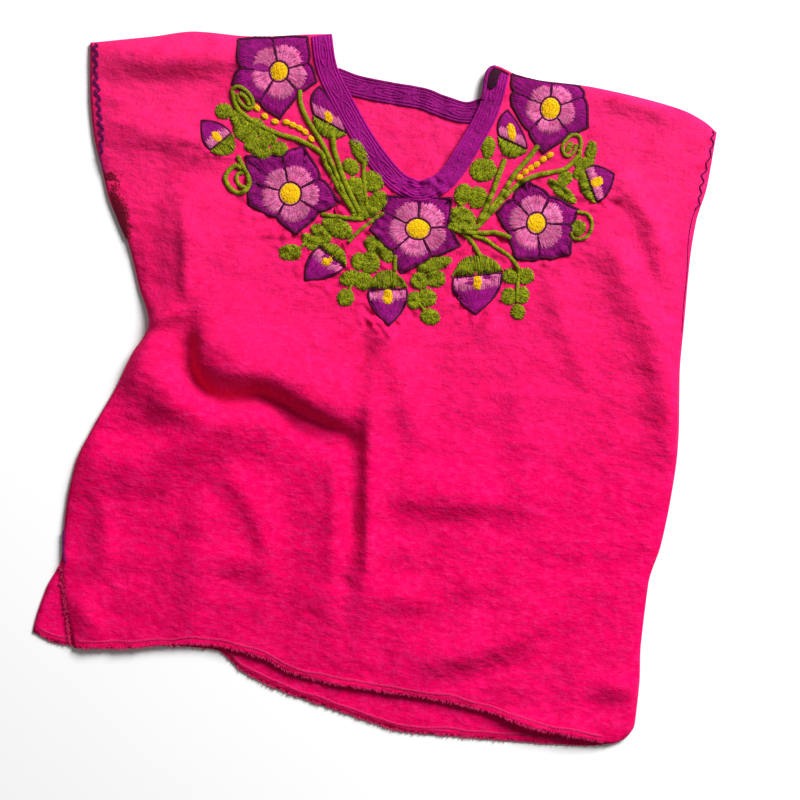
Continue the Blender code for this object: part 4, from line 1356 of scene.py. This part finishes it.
def inset(line, distance):
    """A route moved to its right by a distance, at even steps, without loops on the inside of a bend."""
    moved = line - leftward(line) * distance
    away = np.linalg.norm(moved[:, None] - line[None], axis=-1).min(axis=1)
    smooth = moved[away > distance * 0.93]
    for _ in range(3):
        smooth[1:-1] = (smooth[:-2] + 2 * smooth[1:-1] + smooth[2:]) / 4
    travelled = travelled_along(smooth)
    even = np.linspace(0, travelled[-1], int(travelled[-1]) + 1)
    return np.stack([np.interp(even, travelled, smooth[:, k]) for k in (0, 1)], axis=-1)


def band(name, neck, half_width, surface, looks, replaced, style):
    """A corded neck band: a padded strip under a chain of nested oval cords."""
    line = inset(neck, half_width - BAND_OVERHANG)
    left = leftward(line)
    travelled = travelled_along(line)
    ovals = max(1, round(travelled[-1] / BAND_OVAL))
    phase = travelled / travelled[-1] * ovals
    places = (line[:, None] + left[:, None] * (half_width * BAND_SHARES)[None, :, None])[:, ::-1]
    low = over(surface, places)
    crown = BAND_EDGE + BAND_CROWN * (1 - BAND_SHARES ** 4)
    mesh = Mesh()
    add_wall(mesh, lifted(places, low + crown), lifted(places, low - BAND_SUNK), 0.45)

    def cord(keep, offset, thick):
        route = line[keep] + left[keep] * np.reshape(offset, (-1, 1))
        lift = 1.45 - 0.35 * (np.ravel(offset) / half_width) ** 2
        add_cord(mesh, on_surface(route, surface, lift), thick, 0.8, style)

    for share in (0.9, 0.64):
        for sign in (1, -1):
            cord(slice(None), np.full(len(line), sign * share * half_width), 1.3)
    for k in range(ovals):
        inside = np.flatnonzero((phase >= k) & (phase <= k + 1))
        for reach, thick in ((0.44, 1.2), (0.2, 1.1)):
            keep = inside[int(len(inside) * (0.5 - reach)):int(len(inside) * (0.5 + reach)) + 1]
            offset = half_width * 0.9 * reach * np.sin(math.pi * np.linspace(0, 1, len(keep))) ** 0.35
            cord(keep, offset, thick)
            cord(keep, -offset, thick)
    mesh.build(name, looks["purple_thread"], replaced)


def add_patch(mesh, outline, surface, lift, tone):
    """A low padded patch inside an outline given clockwise."""
    outline = np.array(outline, float)[::-1]
    add_dome(mesh, outline.mean(axis=0), outline, raised(surface, lift), surface, tone)


def neck_corner(surface, looks):
    """The lifted right end of the neck: a dark patch of painted shade in its hollow, the back neck band's
    rim, darker as painted shade, and the front's pink rim.
    """
    mesh = Mesh()
    # The hollow is a dark plum patch: painted shade
    add_patch(mesh, HOLLOW_PAINTED_SHADE, surface, 2.9, 0.0)
    mesh.build("neck_corner_hollow_painted_shade", looks["plum_thread"])
    mesh = cord_along(HOLLOW_BACK_RIM, 0.6, surface, 2.6, 2.2, 1.5, "corner band in painted shade")
    mesh.build("neck_corner_band", looks["purple_thread"])
    mesh = cord_along(HOLLOW_FRONT_RIM, 0.6, surface, 2.8, 1.5, 1.3, "corner rim")
    mesh.build("neck_corner_rim", looks["pink_thread"])


def within_sides(places, margin):
    """Across positions held inside the front panel's two sides."""
    x, y = places[..., 0], places[..., 1]
    return np.clip(x, left_side(y) + margin, right_side(y) - margin)


def sleeve_edges(surface, looks):
    """Purple zigzag hand stitching along the sleeves' edges, the plain right seam and the slit's stitches."""
    for name, route, swing, pitch, rows in SLEEVE_EDGES:
        line = route_through(route, EDGE_STEP)
        travelled = np.arange(len(line)) * EDGE_STEP
        mesh = Mesh()
        for shift, share in rows:
            wander = 0.8 * np.sin(travelled / 11)
            zigzag = np.arcsin(0.96 * np.sin(2 * math.pi * (travelled + shift) / pitch + wander))
            zigzag *= swing * share * (0.8 + 0.2 * np.sin(travelled / 6)) * 2 / math.pi
            place = line + np.stack([zigzag, 0 * zigzag], axis=-1)
            place[:, 0] = within_sides(place, STITCH_INSET)
            add_cord(mesh, on_surface(place, surface, 0.45), 0.85, 0.6, "zigzag")
        mesh.build("sleeve_edge_" + name, looks["purple_thread"])
    for name, route, half_width in PLAIN_SEAMS:
        mesh = cord_along(route, EDGE_STEP, surface, 0.2, half_width, 0.6, "seam")
        mesh.build(name, looks["purple_thread"])


def sleeve_opening_shade(surface, looks, draw):
    """The sleeve opening at the left underarm as dark patches of painted shade, with loose threads along its
    edge in the same shaded tones.
    """
    mesh = Mesh()
    for outline in OPENING_SHADES:
        add_patch(mesh, outline, surface, 0.3, 0.4)
    rim = route_through(OPENING_RIM, 0.3)
    starts = rim[draw.integers(0, len(rim), OPENING_THREADS)] + draw.normal(-1.0, 1.6, (OPENING_THREADS, 2))
    ends = starts + draw.uniform(-2.5, 2.5, (OPENING_THREADS, 2))
    starts[:, 0] = within_sides(starts, 2.5)
    ends[:, 0] = within_sides(ends, 1.5)
    add_threads(mesh, starts, ends, raised(surface, 0.2), 0.9, 0.4, draw, (0.6, 2.6))
    mesh.build("sleeve_opening_shade_left", looks["shade_pink"])


def hem_stitches(surface, back_surface, looks, draw):
    """The turned edge above each hem and the frayed ends below it."""
    for name, curve, ground, low in (
        ("front", front_hem, surface, FRONT_HEM_START), ("back", back_hem, back_surface, BACK_HEM_START),
    ):
        mesh = Mesh()
        xs = np.arange(low, HEM_END, 1.5)
        line = np.stack([xs, curve(xs) + HEM_TURN + 0.5 * waves(xs, 0 * xs, 40, 8)], axis=-1)
        add_cord(mesh, on_surface(line, ground, -0.1), 1.6, 0.5, "hem")
        xs = draw.uniform(low, HEM_END, HEM_THREADS)
        starts = np.stack([xs, curve(xs) + draw.uniform(0.4, 2.4, HEM_THREADS)], axis=-1)
        runs = [draw.uniform(-1.8, 1.8, HEM_THREADS), -draw.uniform(0.8, 3.4, HEM_THREADS)]
        ends = starts + np.stack(runs, axis=-1)
        add_threads(mesh, starts, ends, raised(ground, 0.05), HEM_THREAD_WIDTH, FRAY_RISE, draw, (0.5, 1.3))
        mesh.build("hem_threads_" + name, looks["pink_thread"])


def slit_threads(surface, looks, draw):
    """Loose threads along the frayed edge of the left slit."""
    mesh = Mesh()
    line = route_through(SLIT, 0.3)
    line = line[line[:, 1] < SLIT_TOP]
    starts = line[draw.integers(0, len(line), SLIT_THREADS)] + draw.uniform(-1.5, 1.5, (SLIT_THREADS, 2))
    runs = [draw.uniform(-2.6, 1.0, SLIT_THREADS), draw.uniform(-2.5, 2.5, SLIT_THREADS)]
    ends = starts + np.stack(runs, axis=-1)
    add_threads(mesh, starts, ends, raised(surface, 0.2), SLIT_THREAD_WIDTH, FRAY_RISE, draw, (0.5, 1.5))
    mesh.build("slit_threads", looks["pink_thread"])


def stage():
    """A plain pale floor, a soft key light from the upper right of the picture, and the camera."""
    material = bpy.data.materials.new("floor")
    material.use_nodes = True
    shader = material.node_tree.nodes["Principled BSDF"]
    shader.inputs["Base Color"].default_value = FLOOR_COLOUR
    shader.inputs["Roughness"].default_value = FLOOR_ROUGHNESS
    mesh = bpy.data.meshes.new("floor")
    ways = [(-1, -1), (1, -1), (1, 1), (-1, 1)]
    corners = [(FLOOR_REACH * x, FLOOR_REACH * y, FLOOR_HEIGHT) for x, y in ways]
    mesh.from_pydata(corners, [], [(0, 1, 2, 3)])
    mesh.materials.append(material)
    floor = linked("floor", mesh)

    world = bpy.data.worlds.new("studio")
    world.use_nodes = True
    background = world.node_tree.nodes["Background"]
    background.inputs["Color"].default_value = (1, 1, 1, 1)
    background.inputs["Strength"].default_value = WORLD_LIGHT
    bpy.context.scene.world = world

    light = bpy.data.lights.new("key", "AREA")
    light.energy = KEY_POWER
    light.size = KEY_SIZE
    key = linked("key", light)
    key.location = [share * KEY_DISTANCE for share in KEY_TOWARDS]
    key.rotation_euler = key.location.to_track_quat("Z", "Y").to_euler()

    lens = bpy.data.cameras.new("camera")
    lens.sensor_width = SENSOR_WIDTH
    lens.lens = SENSOR_WIDTH * CAMERA_HEIGHT / PICTURE_WIDTH
    camera = linked("camera", lens)
    camera.location = (CAMERA_OVER[0] * MM, CAMERA_OVER[1] * MM, CAMERA_HEIGHT)
    camera.rotation_euler = (0, 0, math.radians(CAMERA_TURN))
    bpy.context.scene.camera = camera
    bpy.context.scene.view_settings.view_transform = "Standard"


def main():
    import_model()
    stage()
    draw = np.random.default_rng(SEED)
    looks = {name: (thread(name), row[-1]) for name, row in THREADS.items()}
    cotton = pink_cotton(), "pink_cotton"
    back_cloth(cotton)
    front_cloth(cotton)
    surface, back_surface = HeightMap(cloth_top), HeightMap(back_top_height)
    neck = route_through(BACK_NECK[2:-1], 1.0)
    band("corded_band_back", neck, BACK_BAND_HALF_WIDTH, back_surface, looks, ["neck_band_back"], "back band in painted shade")
    neck = np.vstack([route_through(V_LEFT_ARM, 1.0), route_through(V_RIGHT_ARM, 1.0)[1:]])
    band("corded_band_front", neck, BAND_HALF_WIDTH, surface, looks, ["neck_band_front"], "front band")
    neck_corner(surface, looks)
    for row in FLOWERS:
        flower(row, surface, looks, draw)
    for row in BUDS:
        bud(row, surface, looks, draw)
    leaves(surface, looks, draw)
    stems(surface, looks)
    knots(surface, looks, draw)
    sleeve_edges(surface, looks)
    sleeve_opening_shade(surface, looks, draw)
    hem_stitches(surface, back_surface, looks, draw)
    slit_threads(surface, looks, draw)


main()
